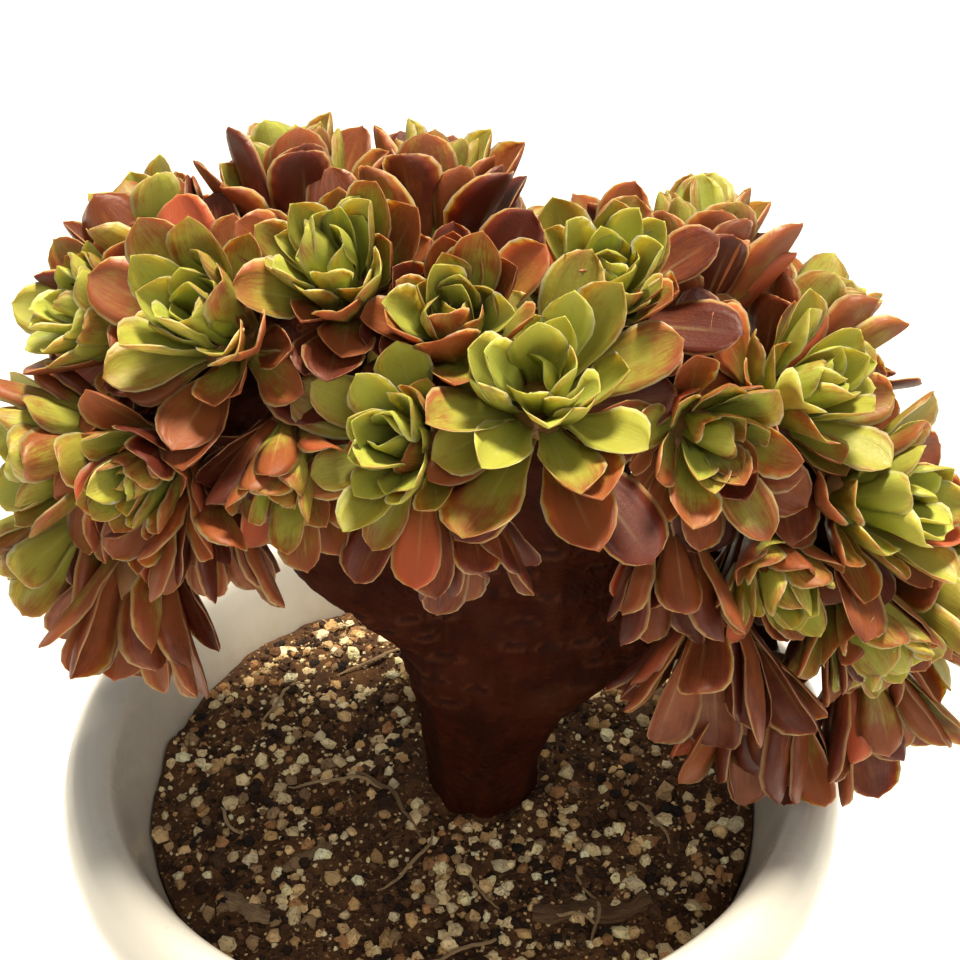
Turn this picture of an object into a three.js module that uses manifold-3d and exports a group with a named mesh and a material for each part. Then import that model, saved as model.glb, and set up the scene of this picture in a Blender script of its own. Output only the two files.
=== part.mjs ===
// A crested aeonium in a white round pot. Millimetres, +Z up. The origin is the centre of the pot's flat
// underside, -Y is the front and +X the right-hand side seen from the front.
//
// The plant is a fasciated stem: a thick trunk that spreads into three flattened arms under one arched crest.
// The crest carries crowded leafy heads, each of which is a rosette of spoon-shaped leaves with a pointed tip.
import * as THREE from 'three';
import { mergeVertices } from 'three/addons/utils/BufferGeometryUtils.js';
import Module from 'manifold-3d';

const wasm = await Module();
wasm.setup();

// ---- driving dimensions ------------------------------------------------------------------------------------

const GAP = 0.3; // between pieces that rest on or in each other
const ROUND_SIDES = 36; // of the pot and the mix, which fit each other
const POT_HEIGHT = 150;
const RIM_RADIUS = 100; // outermost radius of the rolled rim
const RIM_WIDTH = 14; // from the outer edge to the inner lip
const RIM_DEPTH = 24; // from the top of the roll to its underside
const FOOT_RADIUS = 66;
const FOOT_EDGE = 3; // rounding of the foot's edge
const UNDER_RIM_RADIUS = 90; // where the tapered wall meets the roll
const WALL = 6;
const FLOOR = 8; // thickness of the pot's floor
const FLOOR_CORNER = 6; // of the inside, between floor and wall
const DRAIN_HOLES = 6;
const DRAIN_RADIUS = 4.5;
const DRAIN_CIRCLE = 42;
const DRAIN_SIDES = 8;

const SOIL_TOP = 125; // mean height of the potting mix, 25 mm under the rim
const SOIL_RADIUS = 80; // the pot's inner radius at that height
const SOIL_RINGS = [70, 58, 46, 34, 22]; // radii at which the top's relief is drawn
const MOUND = { height: 4, reach: 34 }; // where the mix is heaped at the trunk
const ROUGHNESS = 0.7; // of the mix's top, up and down
const GRAINS = 24;
const GRAIN_RADIUS = [1.8, 3.4];
const TRUNK_X = 8; // the trunk stands a little right of the pot's axis
const TRUNK_FOOT = 84; // the trunk's lower end, buried in the mix
const TRUNK_CLEAR = 22; // no loose grain lies nearer to the trunk's axis

const LIMB_SIDES = 8;
const NECK_SIDES = 4;
const CORE_SIDES = 6;
const CORE_RADIUS = 6.5; // of a full-sized head's core, a blunt cone
const CORE_TOP_RADIUS = 3;
const CORE_SHOULDER = 3; // height up to which the core is widest
const CORE_TOP = 8; // height where the pointed bud begins
const CORE_HEIGHT = 12;
const NECK_RADIUS = 4.8; // where a neck meets its head
const NECK_ROOT_RADIUS = 7;

const LEAF_LENGTH = 23.5; // an outer leaf of a full-sized head
const LEAF_KEEL = 0.6; // depth of the underside's ridge below the leaf's middle surface
const LEAF_SUNK = 1.8; // how deep a leaf's root lies in the core
const LEAVES_IN_HEAD = 30;
const LEAVES_IN_TUFT = 15;
const OUTER_LEAVES = 7; // the outer leaves are all modelled, and of the inner ones every fourth up to the bud
const INNER_STEP = 4;
const LEAVES_TO_BUD = 30;
const GOLDEN_ANGLE = THREE.MathUtils.degToRad(137.508); // between one leaf and the next

// A leaf's shape at the two ends of its life and how far single leaves stray from it: the angle between the
// head's axis and the leaf, the share of the full length, the width as a share of the length, the root's height
// on the core, the bend along the leaf and the cup across it.
const YOUNG = { tilt: 0.12, share: 0.78, width: 0.46, root: 6, bend: 0.3, cup: 0.55 };
const OLD = { tilt: 1.4, share: 1, width: 0.5, root: 0.8, bend: 0.1, cup: 0.4 };
const STRAY = { turn: 0.35, tilt: 0.3, length: 0.18, roll: 0.45, width: 0.05, bend: 0.5, cup: 0.2 };

// The leaf's half width along its length, as a share of the greatest: it starts from a point inside the core,
// is widest past the middle, then rounds to a short point.
const OUTLINE = [[0.52, 0.9], [0.85, 0.82]];

// The stem is flattened in the plane of the fan. Its limbs' sections: x, z, half width in the plane, half
// thickness along Y. The trunk spreads into a fan, which parts into three arms under the arched crest.
const LIMBS = {
  trunk: [[8, TRUNK_FOOT, 14, 14], [8, 137, 15, 15], [9, 150, 18, 14.5], [10, 161, 22, 14],
    [14, 173, 31, 13], [17, 186, 42, 12], [14, 207, 52, 9]],
  left_arm: [[-5, 184, 11, 11], [-23, 207, 17, 12], [-38, 230, 14, 12], [-50, 250, 12, 11]],
  middle_arm: [[24, 190, 23, 12], [24, 214, 22, 13], [18, 262, 15, 11]],
  right_arm: [[42, 182, 13, 12], [66, 190, 13, 12], [90, 208, 11, 10]],
  crest: [[-62, 222, 8, 9], [-54, 250, 10, 11], [-24, 266, 11, 12], [18, 262, 11, 12], [50, 252, 11, 12],
    [78, 230, 10, 11], [92, 198, 9, 9]],
};

// Leafy heads: the name, where the rosette springs from, the way it faces, its size against a full-sized head,
// how far its old leaves open out as a share of the full tilt, and how far they hang. Under the crest hang
// tufts of large old leaves only, whose number ends their row.
const HEADS = [
  ['head_front_middle', [19, -33, 266], [0.03, -0.62, 0.78], 1.1, 0.85, 0.42],
  ['head_front_middle_left', [-4, -35, 259], [-0.35, -0.75, 0.55], 0.95, 0.85, 0.42],
  ['head_front_top_left', [-20, -13, 280], [-0.1, -0.5, 0.86], 1, 0.6, 0.42],
  ['head_front_left', [-43, -18, 273], [-0.25, -0.6, 0.76], 1.05, 0.7, 0.42],
  ['head_left_top', [-64, -4, 268], [-0.7, -0.42, 0.6], 0.95, 0.75, 0.42],
  ['head_left', [-70, -14, 246], [-0.86, -0.46, 0.2], 1.05, 0.75, 0.42],
  ['head_left_front', [-56, -26, 252], [-0.4, -0.88, 0.15], 0.9, 0.75, 0.7],
  ['head_left_outer_low', [-78, -8, 226], [-0.75, -0.45, -0.4], 1.05, 0.7, 0.9],
  ['head_left_low', [-66, -20, 221], [-0.3, -0.9, -0.2], 1.25, 0.8, 1.6, LEAVES_IN_TUFT],
  ['head_left_front_low', [-50, -28, 243], [-0.05, -0.95, -0.15], 1, 0.8, 1.5, LEAVES_IN_TUFT],
  ['head_front_left_low', [-31, -28, 259], [-0.05, -0.98, -0.15], 0.95, 0.75, 1],
  ['head_front_low', [4, -36, 248], [0.02, -0.93, -0.3], 0.9, 0.75, 1.3, LEAVES_IN_TUFT],
  ['head_front_upper', [3, -21, 275], [-0.05, -0.6, 0.8], 0.95, 0.5, 0.3],
  ['head_front_top_right', [31, -11, 276], [0.1, -0.5, 0.86], 0.98, 0.6, 0.42],
  ['head_front_right', [50, -26, 259], [0.15, -0.92, 0.35], 0.95, 0.8, 0.6],
  ['head_front_right_low', [47, -30, 235], [0.05, -0.93, -0.3], 1, 0.8, 1.4, LEAVES_IN_TUFT],
  ['head_right_top', [68, -12, 254], [0.48, -0.5, 0.72], 1, 0.65, 0.42],
  ['head_right', [85, -17, 233], [0.66, -0.6, 0.45], 1.05, 0.75, 0.42],
  ['head_right_end', [103, -6, 200], [0.9, -0.4, 0.12], 1.1, 0.85, 0.42],
  ['head_right_middle', [67, -25, 230], [0.25, -0.93, -0.1], 0.95, 0.75, 0.8],
  ['head_right_inner', [60, -25, 207], [-0.1, -0.95, -0.2], 1.2, 0.85, 1.5, LEAVES_IN_TUFT],
  ['head_right_front_low', [88, -20, 211], [0.4, -0.8, -0.2], 1, 0.75, 0.9],
  ['head_right_low', [74, -20, 187], [0.02, -0.93, -0.3], 1.3, 0.8, 1.6, LEAVES_IN_TUFT],
  ['head_right_lowest', [97, -14, 184], [0.4, -0.8, -0.35], 1.2, 0.8, 1.4, LEAVES_IN_TUFT],
  ['head_back_top_left', [-57, 4, 267], [-0.3, 0.3, 0.9], 1.18, 0.36, 0.3],
  ['head_top_left', [-31, 6, 279], [-0.1, 0.3, 0.95], 1.1, 0.36, 0.3],
  ['head_top', [-3, 5, 278], [0.03, 0.3, 0.95], 1.08, 0.36, 0.3],
  ['head_top_right', [50, 2, 264], [0.15, 0.3, 0.94], 1.23, 0.36, 0.3],
  ['head_back_top_right', [72, 6, 248], [0.5, 0.3, 0.8], 1.1, 0.45, 0.3],
  ['head_back_left_end', [-66, 17, 238], [-0.78, 0.55, 0.3], 1, 0.81, 0.5],
  ['head_back_left', [-38, 32, 250], [-0.3, 0.9, 0.35], 1.05, 0.81, 0.5],
  ['head_back_middle_left', [-16, 28, 266], [-0.1, 0.75, 0.66], 1, 0.77, 0.4],
  ['head_back_middle', [10, 36, 250], [-0.03, 0.92, 0.35], 1.08, 0.85, 0.6],
  ['head_back_right', [42, 32, 250], [0.15, 0.88, 0.45], 1.05, 0.81, 0.5],
  ['head_back_right_end', [72, 27, 226], [0.5, 0.85, 0.15], 1.05, 0.81, 0.6],
  ['head_back_right_low', [96, 14, 198], [0.8, 0.58, -0.05], 1, 0.81, 0.7],
  ['head_back_left_low', [-60, 24, 214], [-0.4, 0.8, -0.4], 1.1, 0.72, 1.3, LEAVES_IN_TUFT],
].map(([name, at, faces, size, open, hang, leaves = LEAVES_IN_HEAD], number) => (
  { name, number, at, faces, size, open, hang, leaves }));

const COLOURS = {
  pot: { color: 0xeeebe2, roughness: 0.32, metalness: 0 },
  soil: { color: 0x2e2117, roughness: 0.95, metalness: 0 },
  stem: { color: 0x3a1a10, roughness: 0.8, metalness: 0 },
  leaf: { color: 0x8a8a3a, roughness: 0.5, metalness: 0 },
};

// ---- small helpers -----------------------------------------------------------------------------------------

const Z = new THREE.Vector3(0, 0, 1);
const vector = (p) => new THREE.Vector3(...p);
const mix = THREE.MathUtils.lerp;

// A repeatable draw from 0 to 1 for a whole number.
function draw(seed) {
  const v = Math.sin(seed * 12.9898 + 4.1414) * 43758.5453;
  return v - Math.floor(v);
}

const spread = (seed, reach) => (draw(seed) * 2 - 1) * reach;

// A closed skin over rings of equal point count, ending in a point or a flat cap at each end.
function skin(rings) {
  const positions = [];
  const index = [];
  const starts = rings.map((ring) => {
    const start = positions.length / 3;
    for (const p of ring) positions.push(p.x, p.y, p.z);
    return start;
  });
  for (let r = 0; r + 1 < rings.length; r++) {
    const [a, b] = [starts[r], starts[r + 1]];
    const [na, nb] = [rings[r].length, rings[r + 1].length];
    const n = Math.max(na, nb);
    for (let i = 0; i < n; i++) {
      const j = (i + 1) % n;
      if (na > 1) index.push(a + i, a + j, nb > 1 ? b + j : b);
      if (nb > 1) index.push(na > 1 ? a + i : a, b + j, b + i);
    }
  }
  const first = rings[0].length;
  for (let i = 1; i + 1 < first; i++) index.push(starts[0], starts[0] + i + 1, starts[0] + i);
  const last = rings.at(-1).length;
  const end = starts.at(-1);
  for (let i = 1; i + 1 < last; i++) index.push(end, end + i, end + i + 1);
  const geometry = new THREE.BufferGeometry();
  geometry.setAttribute('position', new THREE.Float32BufferAttribute(positions, 3));
  geometry.setIndex(index);
  return geometry;
}

// A closed geometry as a solid that can be joined and cut. One that was wound inwards is turned round.
function solid(geometry) {
  const bare = geometry.clone();
  bare.deleteAttribute('normal');
  bare.deleteAttribute('uv');
  const merged = mergeVertices(bare, 1e-4);
  const vertProperties = new Float32Array(merged.attributes.position.array);
  const triVerts = new Uint32Array(merged.index.array);
  const made = new wasm.Manifold(new wasm.Mesh({ numProp: 3, vertProperties, triVerts }));
  if (made.volume() > 0) return made;
  for (let i = 0; i < triVerts.length; i += 3) {
    [triVerts[i + 1], triVerts[i + 2]] = [triVerts[i + 2], triVerts[i + 1]];
  }
  return new wasm.Manifold(new wasm.Mesh({ numProp: 3, vertProperties, triVerts }));
}

// The largest body of a solid, without loose scraps and without the hollows that fusing sealed.
function whole(joined) {
  return joined.decompose().reduce((a, b) => (b.volume() > a.volume() ? b : a));
}

function mesh(name, joined, finish) {
  const data = joined.getMesh();
  const positions = new Float32Array(data.numVert * 3);
  for (let i = 0; i < data.numVert; i++) {
    positions.set(data.vertProperties.subarray(i * data.numProp, i * data.numProp + 3), i * 3);
  }
  const geometry = new THREE.BufferGeometry();
  geometry.setAttribute('position', new THREE.BufferAttribute(positions, 3));
  geometry.setIndex(new THREE.BufferAttribute(new Uint32Array(data.triVerts), 1));
  geometry.computeVertexNormals();
  const made = new THREE.Mesh(geometry, new THREE.MeshStandardMaterial(finish));
  made.name = name;
  return made;
}

// ---- pot ---------------------------------------------------------------------------------------------------

const RIM_INNER = RIM_RADIUS - RIM_WIDTH;
const LIP = POT_HEIGHT - 5; // height of the inner lip under the roll
const FLOOR_RADIUS = FOOT_RADIUS - WALL - 2;

// The inner radius of the pot at a height: one taper up to the top of the mix, another up to the lip.
function innerRadius(z) {
  return z > SOIL_TOP
    ? mix(SOIL_RADIUS, RIM_INNER, (z - SOIL_TOP) / (LIP - SOIL_TOP))
    : mix(FLOOR_RADIUS, SOIL_RADIUS, (z - FLOOR) / (SOIL_TOP - FLOOR));
}

function pot() {
  const top = POT_HEIGHT;
  const outside = [
    [0, 0], [FOOT_RADIUS - FOOT_EDGE, 0], [FOOT_RADIUS, FOOT_EDGE],
    [UNDER_RIM_RADIUS, top - RIM_DEPTH - 3], [RIM_RADIUS - 3, top - RIM_DEPTH],
    [RIM_RADIUS, top - RIM_DEPTH / 2], [RIM_RADIUS - 2, top - 4],
  ];
  const inside = [
    [RIM_RADIUS - RIM_WIDTH / 2, top], [RIM_INNER + 2, top - 2], [RIM_INNER, LIP],
    [SOIL_RADIUS, SOIL_TOP], [innerRadius(FLOOR + FLOOR_CORNER), FLOOR + FLOOR_CORNER],
    [FLOOR_RADIUS - FLOOR_CORNER, FLOOR], [0, FLOOR],
  ];
  const profile = [...outside, ...inside].map(([radius, z]) => new THREE.Vector2(radius, z));
  const body = solid(new THREE.LatheGeometry(profile, ROUND_SIDES).rotateX(Math.PI / 2));
  const holes = Array.from({ length: DRAIN_HOLES }, (_, i) => {
    const a = (2 * Math.PI * (i + 0.5)) / DRAIN_HOLES;
    const hole = new THREE.CylinderGeometry(DRAIN_RADIUS, DRAIN_RADIUS, 3 * FLOOR, DRAIN_SIDES);
    const [x, y] = [DRAIN_CIRCLE * Math.cos(a), DRAIN_CIRCLE * Math.sin(a)];
    return solid(hole.rotateX(Math.PI / 2).translate(x, y, 0));
  });
  return body.subtract(wasm.Manifold.union(holes));
}

// ---- stem --------------------------------------------------------------------------------------------------

// A limb's rings are ellipses that stand square to its run in the plane of the fan.
function limb(sections, grow = 0) {
  const rings = sections.map(([x, z, wide, thick], i) => {
    const before = sections[Math.max(i - 1, 0)];
    const after = sections[Math.min(i + 1, sections.length - 1)];
    const run = new THREE.Vector3(after[0] - before[0], 0, after[1] - before[1]).normalize();
    const across = new THREE.Vector3(run.z, 0, -run.x);
    return Array.from({ length: LIMB_SIDES }, (_, j) => {
      const a = (2 * Math.PI * j) / LIMB_SIDES;
      return new THREE.Vector3(x, Math.sin(a) * (thick + grow), z)
        .addScaledVector(across, Math.cos(a) * (wide + grow));
    });
  });
  return solid(skin(rings));
}

// The point of the crest's or an outer arm's spine that is nearest to a head. Its short neck grows there.
function neckRoot(at) {
  const spines = [LIMBS.crest, LIMBS.left_arm, LIMBS.right_arm];
  const nearest = spines.flatMap((sections) => sections.slice(1).map(([x, z], i) => {
    const [startX, startZ] = sections[i];
    const piece = new THREE.Line3(new THREE.Vector3(startX, 0, startZ), new THREE.Vector3(x, 0, z));
    return piece.closestPointToPoint(at, true, new THREE.Vector3());
  }));
  return nearest.reduce((a, b) => (b.distanceTo(at) < a.distanceTo(at) ? b : a));
}

for (const head of HEADS) {
  head.at = vector(head.at);
  head.faces = vector(head.faces).normalize();
  head.u = new THREE.Vector3(0.31, 0.24, 0.92).cross(head.faces).normalize();
  head.v = head.faces.clone().cross(head.u);
}

// A ring of points round an axis through a centre, which the unit vectors u and v are square to.
function ring(centre, u, v, radius, sides) {
  return Array.from({ length: sides }, (_, j) => {
    const a = (2 * Math.PI * j) / sides;
    return centre.clone()
      .addScaledVector(u, Math.cos(a) * radius)
      .addScaledVector(v, Math.sin(a) * radius);
  });
}

// The neck ends a small gap short of the head and square to the way that the head faces.
function neck(head) {
  const end = head.at.clone().addScaledVector(head.faces, -GAP);
  return solid(skin([
    ring(neckRoot(head.at), head.u, head.v, NECK_ROOT_RADIUS, NECK_SIDES),
    ring(end, head.u, head.v, NECK_RADIUS * head.size, NECK_SIDES),
  ]));
}

function stem() {
  const limbs = Object.values(LIMBS).map((sections) => limb(sections));
  return whole(wasm.Manifold.union([...limbs, ...HEADS.map(neck)]));
}

// ---- leaves ------------------------------------------------------------------------------------------------

function coreRadius(height) {
  const up = THREE.MathUtils.clamp((height - CORE_SHOULDER) / (CORE_TOP - CORE_SHOULDER), 0, 1);
  return mix(CORE_RADIUS, CORE_TOP_RADIUS, up);
}

// Leaf number k of a head, 0 being the oldest and outermost. nudge turns it, lifts it or shortens it.
function leafPlan(head, k, nudge) {
  const seed = head.number * 97 + k * 7;
  const age = 1 - k / (LEAVES_IN_HEAD - 1); // 1 for the oldest leaf, 0 for the youngest
  const turn = head.number * 1.3 + k * GOLDEN_ANGLE + spread(seed, STRAY.turn) + nudge.turn;
  const tilt = mix(YOUNG.tilt, OLD.tilt * head.open, age) + spread(seed + 1, STRAY.tilt) + nudge.tilt;
  const share = mix(YOUNG.share, OLD.share, age ** 0.7) * (1 + spread(seed + 2, STRAY.length));
  const length = LEAF_LENGTH * head.size * share * nudge.scale;
  const radial = head.u.clone().multiplyScalar(Math.cos(turn)).addScaledVector(head.v, Math.sin(turn));
  const root = mix(YOUNG.root, OLD.root, age);
  const base = head.at.clone()
    .addScaledVector(head.faces, root * head.size)
    .addScaledVector(radial, (coreRadius(root) - LEAF_SUNK) * head.size);
  const along = head.faces.clone().multiplyScalar(Math.cos(tilt)).addScaledVector(radial, Math.sin(tilt));
  along.addScaledVector(Z, -head.hang * age * age * (1 - head.faces.z)).normalize();
  const face = head.faces.clone().multiplyScalar(Math.sin(tilt)).addScaledVector(radial, -Math.cos(tilt));
  face.addScaledVector(along, -face.dot(along)).normalize();
  face.applyAxisAngle(along, spread(seed + 3, STRAY.roll));
  return {
    base, along, face, length,
    side: along.clone().cross(face),
    halfWidth: (length * (mix(YOUNG.width, OLD.width, age) + spread(seed + 4, STRAY.width))) / 2,
    bend: mix(YOUNG.bend, OLD.bend, age) + spread(seed + 5, STRAY.bend),
    cup: mix(YOUNG.cup, OLD.cup, age) + spread(seed + 6, STRAY.cup),
  };
}

// A point of the leaf: t from base to tip, s from -1 to 1 across, share of the half width there, and the rise
// above the middle surface, which is an arc along the leaf and a shallow gutter across it.
function leafPoint(leaf, t, s, share, rise) {
  const angle = leaf.bend * t;
  const up = leaf.face.clone().multiplyScalar(Math.cos(angle)).addScaledVector(leaf.along, -Math.sin(angle));
  return leaf.base.clone()
    .addScaledVector(leaf.along, (leaf.length * Math.sin(angle)) / leaf.bend)
    .addScaledVector(leaf.face, (leaf.length * (1 - Math.cos(angle))) / leaf.bend)
    .addScaledVector(leaf.side, s * share * leaf.halfWidth)
    .addScaledVector(up, leaf.cup * s * s * share * leaf.halfWidth + rise);
}

// A leaf solid has a level upper side between its two raised edges, and a keel below.
function leafSolid(leaf) {
  const end = (t) => [leafPoint(leaf, t, 0, 0, 0)];
  const rings = OUTLINE.map(([t, share]) => [
    leafPoint(leaf, t, -1, share, 0),
    leafPoint(leaf, t, 1, share, 0),
    leafPoint(leaf, t, 0, share, -LEAF_KEEL),
  ]);
  return solid(skin([end(0), ...rings, end(1)]));
}

// The core that a head's leaves spring from, ending in the pointed bud.
function core(head) {
  const level = (height) => head.at.clone().addScaledVector(head.faces, height * head.size);
  const profile = [[0, NECK_RADIUS], [CORE_SHOULDER, CORE_RADIUS], [CORE_TOP, CORE_TOP_RADIUS]];
  const rings = profile.map(([height, radius]) =>
    ring(level(height), head.u, head.v, radius * head.size, CORE_SIDES));
  return solid(skin([...rings, [level(CORE_HEIGHT)]]));
}

// Ways to move a leaf that would meet something else, the slightest first.
const NUDGES = [1, 0.88, 0.76, 0.64].flatMap((scale) =>
  [0, -0.16, 0.16, -0.32, 0.32, -0.48, -0.64, -0.8].flatMap((tilt) =>
    [0, 0.2, -0.2, 0.4, -0.4].map((turn) => ({ scale, tilt, turn })),
  ),
);
const effort = ({ scale, tilt, turn }) => Math.abs(tilt) + 0.8 * Math.abs(turn) + 2.5 * (1 - scale);
NUDGES.sort((a, b) => effort(a) - effort(b));

const boxed = (made) => {
  const { min, max } = made.boundingBox();
  return { made, box: new THREE.Box3(vector(min).subScalar(GAP), vector(max).addScalar(GAP)) };
};

const meets = (a, b) => a.box.intersectsBox(b.box) && a.made.minGap(b.made, GAP) < GAP;

// The heads, grown a leaf at a time from the inner leaves out. Each leaf is nudged until it clears everything
// but its own head, and if it can its own head's leaves as well. One that finds no room is left out.
function heads(surroundings) {
  const fixed = surroundings.map(boxed);
  const grown = HEADS.map((head) => [boxed(core(head))]);
  for (let k = LEAVES_TO_BUD - 1; k >= 0; k--) {
    if (k > OUTER_LEAVES && (k - OUTER_LEAVES - 1) % INNER_STEP !== 0) continue;
    for (const head of HEADS.filter(({ leaves }) => k < leaves)) {
      const foreign = [...fixed, ...grown.filter((_, n) => n !== head.number).flat()];
      const own = grown[head.number];
      let fallback = null;
      const placed = NUDGES.some((nudge) => {
        const leaf = boxed(leafSolid(leafPlan(head, k, nudge)));
        if (foreign.some((other) => meets(leaf, other))) return false;
        fallback ??= leaf;
        if (own.slice(1).some((other) => meets(leaf, other))) return false;
        own.push(leaf);
        return true;
      });
      if (!placed && fallback) own.push(fallback);
    }
  }
  return HEADS.map((head) => {
    const joined = wasm.Manifold.union(grown[head.number].map(({ made }) => made));
    return mesh(head.name, whole(joined), COLOURS.leaf);
  });
}

// ---- potting mix -------------------------------------------------------------------------------------------

// The height of the mix: a low mound at the trunk, soft lumps and the roughness of its grit.
function soilHeight(x, y) {
  const mound = MOUND.height * Math.exp(-((Math.hypot(x - TRUNK_X, y) / MOUND.reach) ** 2));
  const lumps = 1.2 * Math.sin(x * 0.19 + 1) * Math.cos(y * 0.23) + 0.7 * Math.sin(x * 0.47 - y * 0.39);
  return SOIL_TOP + mound + lumps + spread(Math.round(x * 7 + y * 131), ROUGHNESS);
}

// Loose grains of grit, half sunk in the top of the mix.
function grains() {
  const made = [];
  for (let i = 0; made.length < GRAINS; i++) {
    const radius = (SOIL_RADIUS - 5) * Math.sqrt(draw(i * 3 + 900));
    const a = 2 * Math.PI * draw(i * 3 + 901);
    const [x, y] = [radius * Math.cos(a), radius * Math.sin(a)];
    if (Math.hypot(x - TRUNK_X, y) < TRUNK_CLEAR) continue;
    const size = mix(...GRAIN_RADIUS, draw(i * 3 + 902));
    const grain = new THREE.OctahedronGeometry(size);
    grain.scale(1.2, 0.9, 0.8).rotateZ(a * 3).rotateX(draw(i) * 0.8);
    made.push(solid(grain.translate(x, y, soilHeight(x, y) + size * 0.35)));
  }
  return made;
}

// The mix fills the pot from its floor and has a plain hole for the trunk.
function soil() {
  const level = (radius, z) =>
    Array.from({ length: ROUND_SIDES }, (_, j) => {
      const a = (2 * Math.PI * j) / ROUND_SIDES;
      const [x, y] = [radius * Math.cos(a), radius * Math.sin(a)];
      return new THREE.Vector3(x, y, z ?? soilHeight(x, y));
    });
  const corner = FLOOR + FLOOR_CORNER;
  const rings = [
    level(FLOOR_RADIUS - FLOOR_CORNER - GAP, FLOOR + GAP),
    level(innerRadius(corner) - GAP, corner + GAP),
    level(SOIL_RADIUS - 2 * GAP),
    ...SOIL_RINGS.map((radius) => level(radius)),
    [new THREE.Vector3(0, 0, SOIL_TOP)],
  ];
  const [footX, , footWide, footThick] = LIMBS.trunk[0];
  const socket = limb([[footX, TRUNK_FOOT - GAP, footWide, footThick], ...LIMBS.trunk], GAP);
  return whole(wasm.Manifold.union([solid(skin(rings)), ...grains()]).subtract(socket));
}

// ---- the object --------------------------------------------------------------------------------------------

const group = new THREE.Group();
const [potSolid, soilSolid, stemSolid] = [pot(), soil(), stem()];
group.add(mesh('pot', potSolid, COLOURS.pot));
group.add(mesh('soil', soilSolid, COLOURS.soil));
group.add(mesh('stem', stemSolid, COLOURS.stem));
group.add(...heads([potSolid, soilSolid, stemSolid]));

export default group;
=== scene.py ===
"""The looks of a potted crested aeonium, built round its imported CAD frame. Metres, +Z up, -Y to the front."""

import bmesh
import bpy
import numpy as np
from bpy.props import FloatProperty, FloatVectorProperty, IntProperty, PointerProperty
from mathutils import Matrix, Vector


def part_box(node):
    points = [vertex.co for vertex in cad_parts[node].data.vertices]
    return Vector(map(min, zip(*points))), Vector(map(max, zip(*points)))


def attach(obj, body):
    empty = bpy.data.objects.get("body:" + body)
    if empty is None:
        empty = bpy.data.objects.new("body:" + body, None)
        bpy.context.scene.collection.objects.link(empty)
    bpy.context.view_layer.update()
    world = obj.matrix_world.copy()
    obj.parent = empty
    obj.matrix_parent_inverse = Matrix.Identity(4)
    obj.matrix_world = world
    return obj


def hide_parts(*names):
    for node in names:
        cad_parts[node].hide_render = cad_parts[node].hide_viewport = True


bl_info = {
    "name": "Potted aeonium",
    "version": (1, 0, 0),
    "blender": (4, 5, 0),
    "location": "View3D > Sidebar > Aeonium",
    "description": "Dresses the CAD frame of a crested aeonium in a round pot",
    "category": "Object",
}

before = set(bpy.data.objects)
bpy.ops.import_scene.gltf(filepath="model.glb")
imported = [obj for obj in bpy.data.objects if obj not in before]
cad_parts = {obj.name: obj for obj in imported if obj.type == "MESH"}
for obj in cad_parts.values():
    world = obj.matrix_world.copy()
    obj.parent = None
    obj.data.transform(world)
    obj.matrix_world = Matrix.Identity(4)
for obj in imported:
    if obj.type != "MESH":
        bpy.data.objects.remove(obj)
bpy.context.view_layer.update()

MM = 0.001

# ---- the object's dimensions, in millimetres, as in the CAD source ---------------------------------------

RIM_RADIUS = 100
POT_HEIGHT = 150
SOIL_TOP = 125
SOIL_RADIUS = 79.4
FLOOR = 8  # the pot's
TRUNK_X = 8
MOUND = (4, 34)  # height and reach of the low mound at the trunk
# radius, height: the hole's wall inside the trunk, and the side and the floor of the mix
SOIL_HOLE = [(8, 84), (12.8, 84), (12.8, 104)]
SOIL_UNDER = [(SOIL_RADIUS - 0.3, 122), (58.4, 14.3), (55, 9.6), (51, 8.3)]
SOIL_RINGS = 76  # on its top
SOIL_SIDES = 260
# radius, height: outside from the foot up, over the rolled rim and down the inside to the floor
POT_PROFILE = [
    (0, 0), (30, 0), (60, 0), (62.6, 0.1), (64.6, 0.9), (65.7, 2.2), (66.3, 4),
    (70, 22.5), (74, 42.5), (78, 62.5), (82, 83), (86, 103), (88.6, 116.5), (89.7, 121.5),
    (91.2, 123.6), (94, 124.6), (96.6, 125.7), (98.6, 128.4), (99.7, 132.5), (100, 137),
    (99.6, 141.5), (98.3, 145.3), (96.2, 148), (93.6, 149.6), (91, 149.6), (88.8, 148.6),
    (87.2, 146.6), (86, 144), (84.3, 138.5), (82, 131.5), (80, 125), (78.9, 119), (77, 109),
    (73, 88.5), (69, 67.5), (65, 46.5), (61, 26), (59.6, 17.5), (58.6, 12.5), (56.4, 9.5),
    (53, 8.1), (48, 8), (30, 8), (0, 8),
]
POT_SIDES = 144
DRAIN = {"count": 6, "radius": 4.5, "circle": 42, "sides": 24, "past": 5}
# Dust on the inner wall: the radii and the heights between which it fades in, going inwards and down.
WALL_DUST = {"radii": (88.5, 84), "heights": (143, 125.5)}

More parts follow.
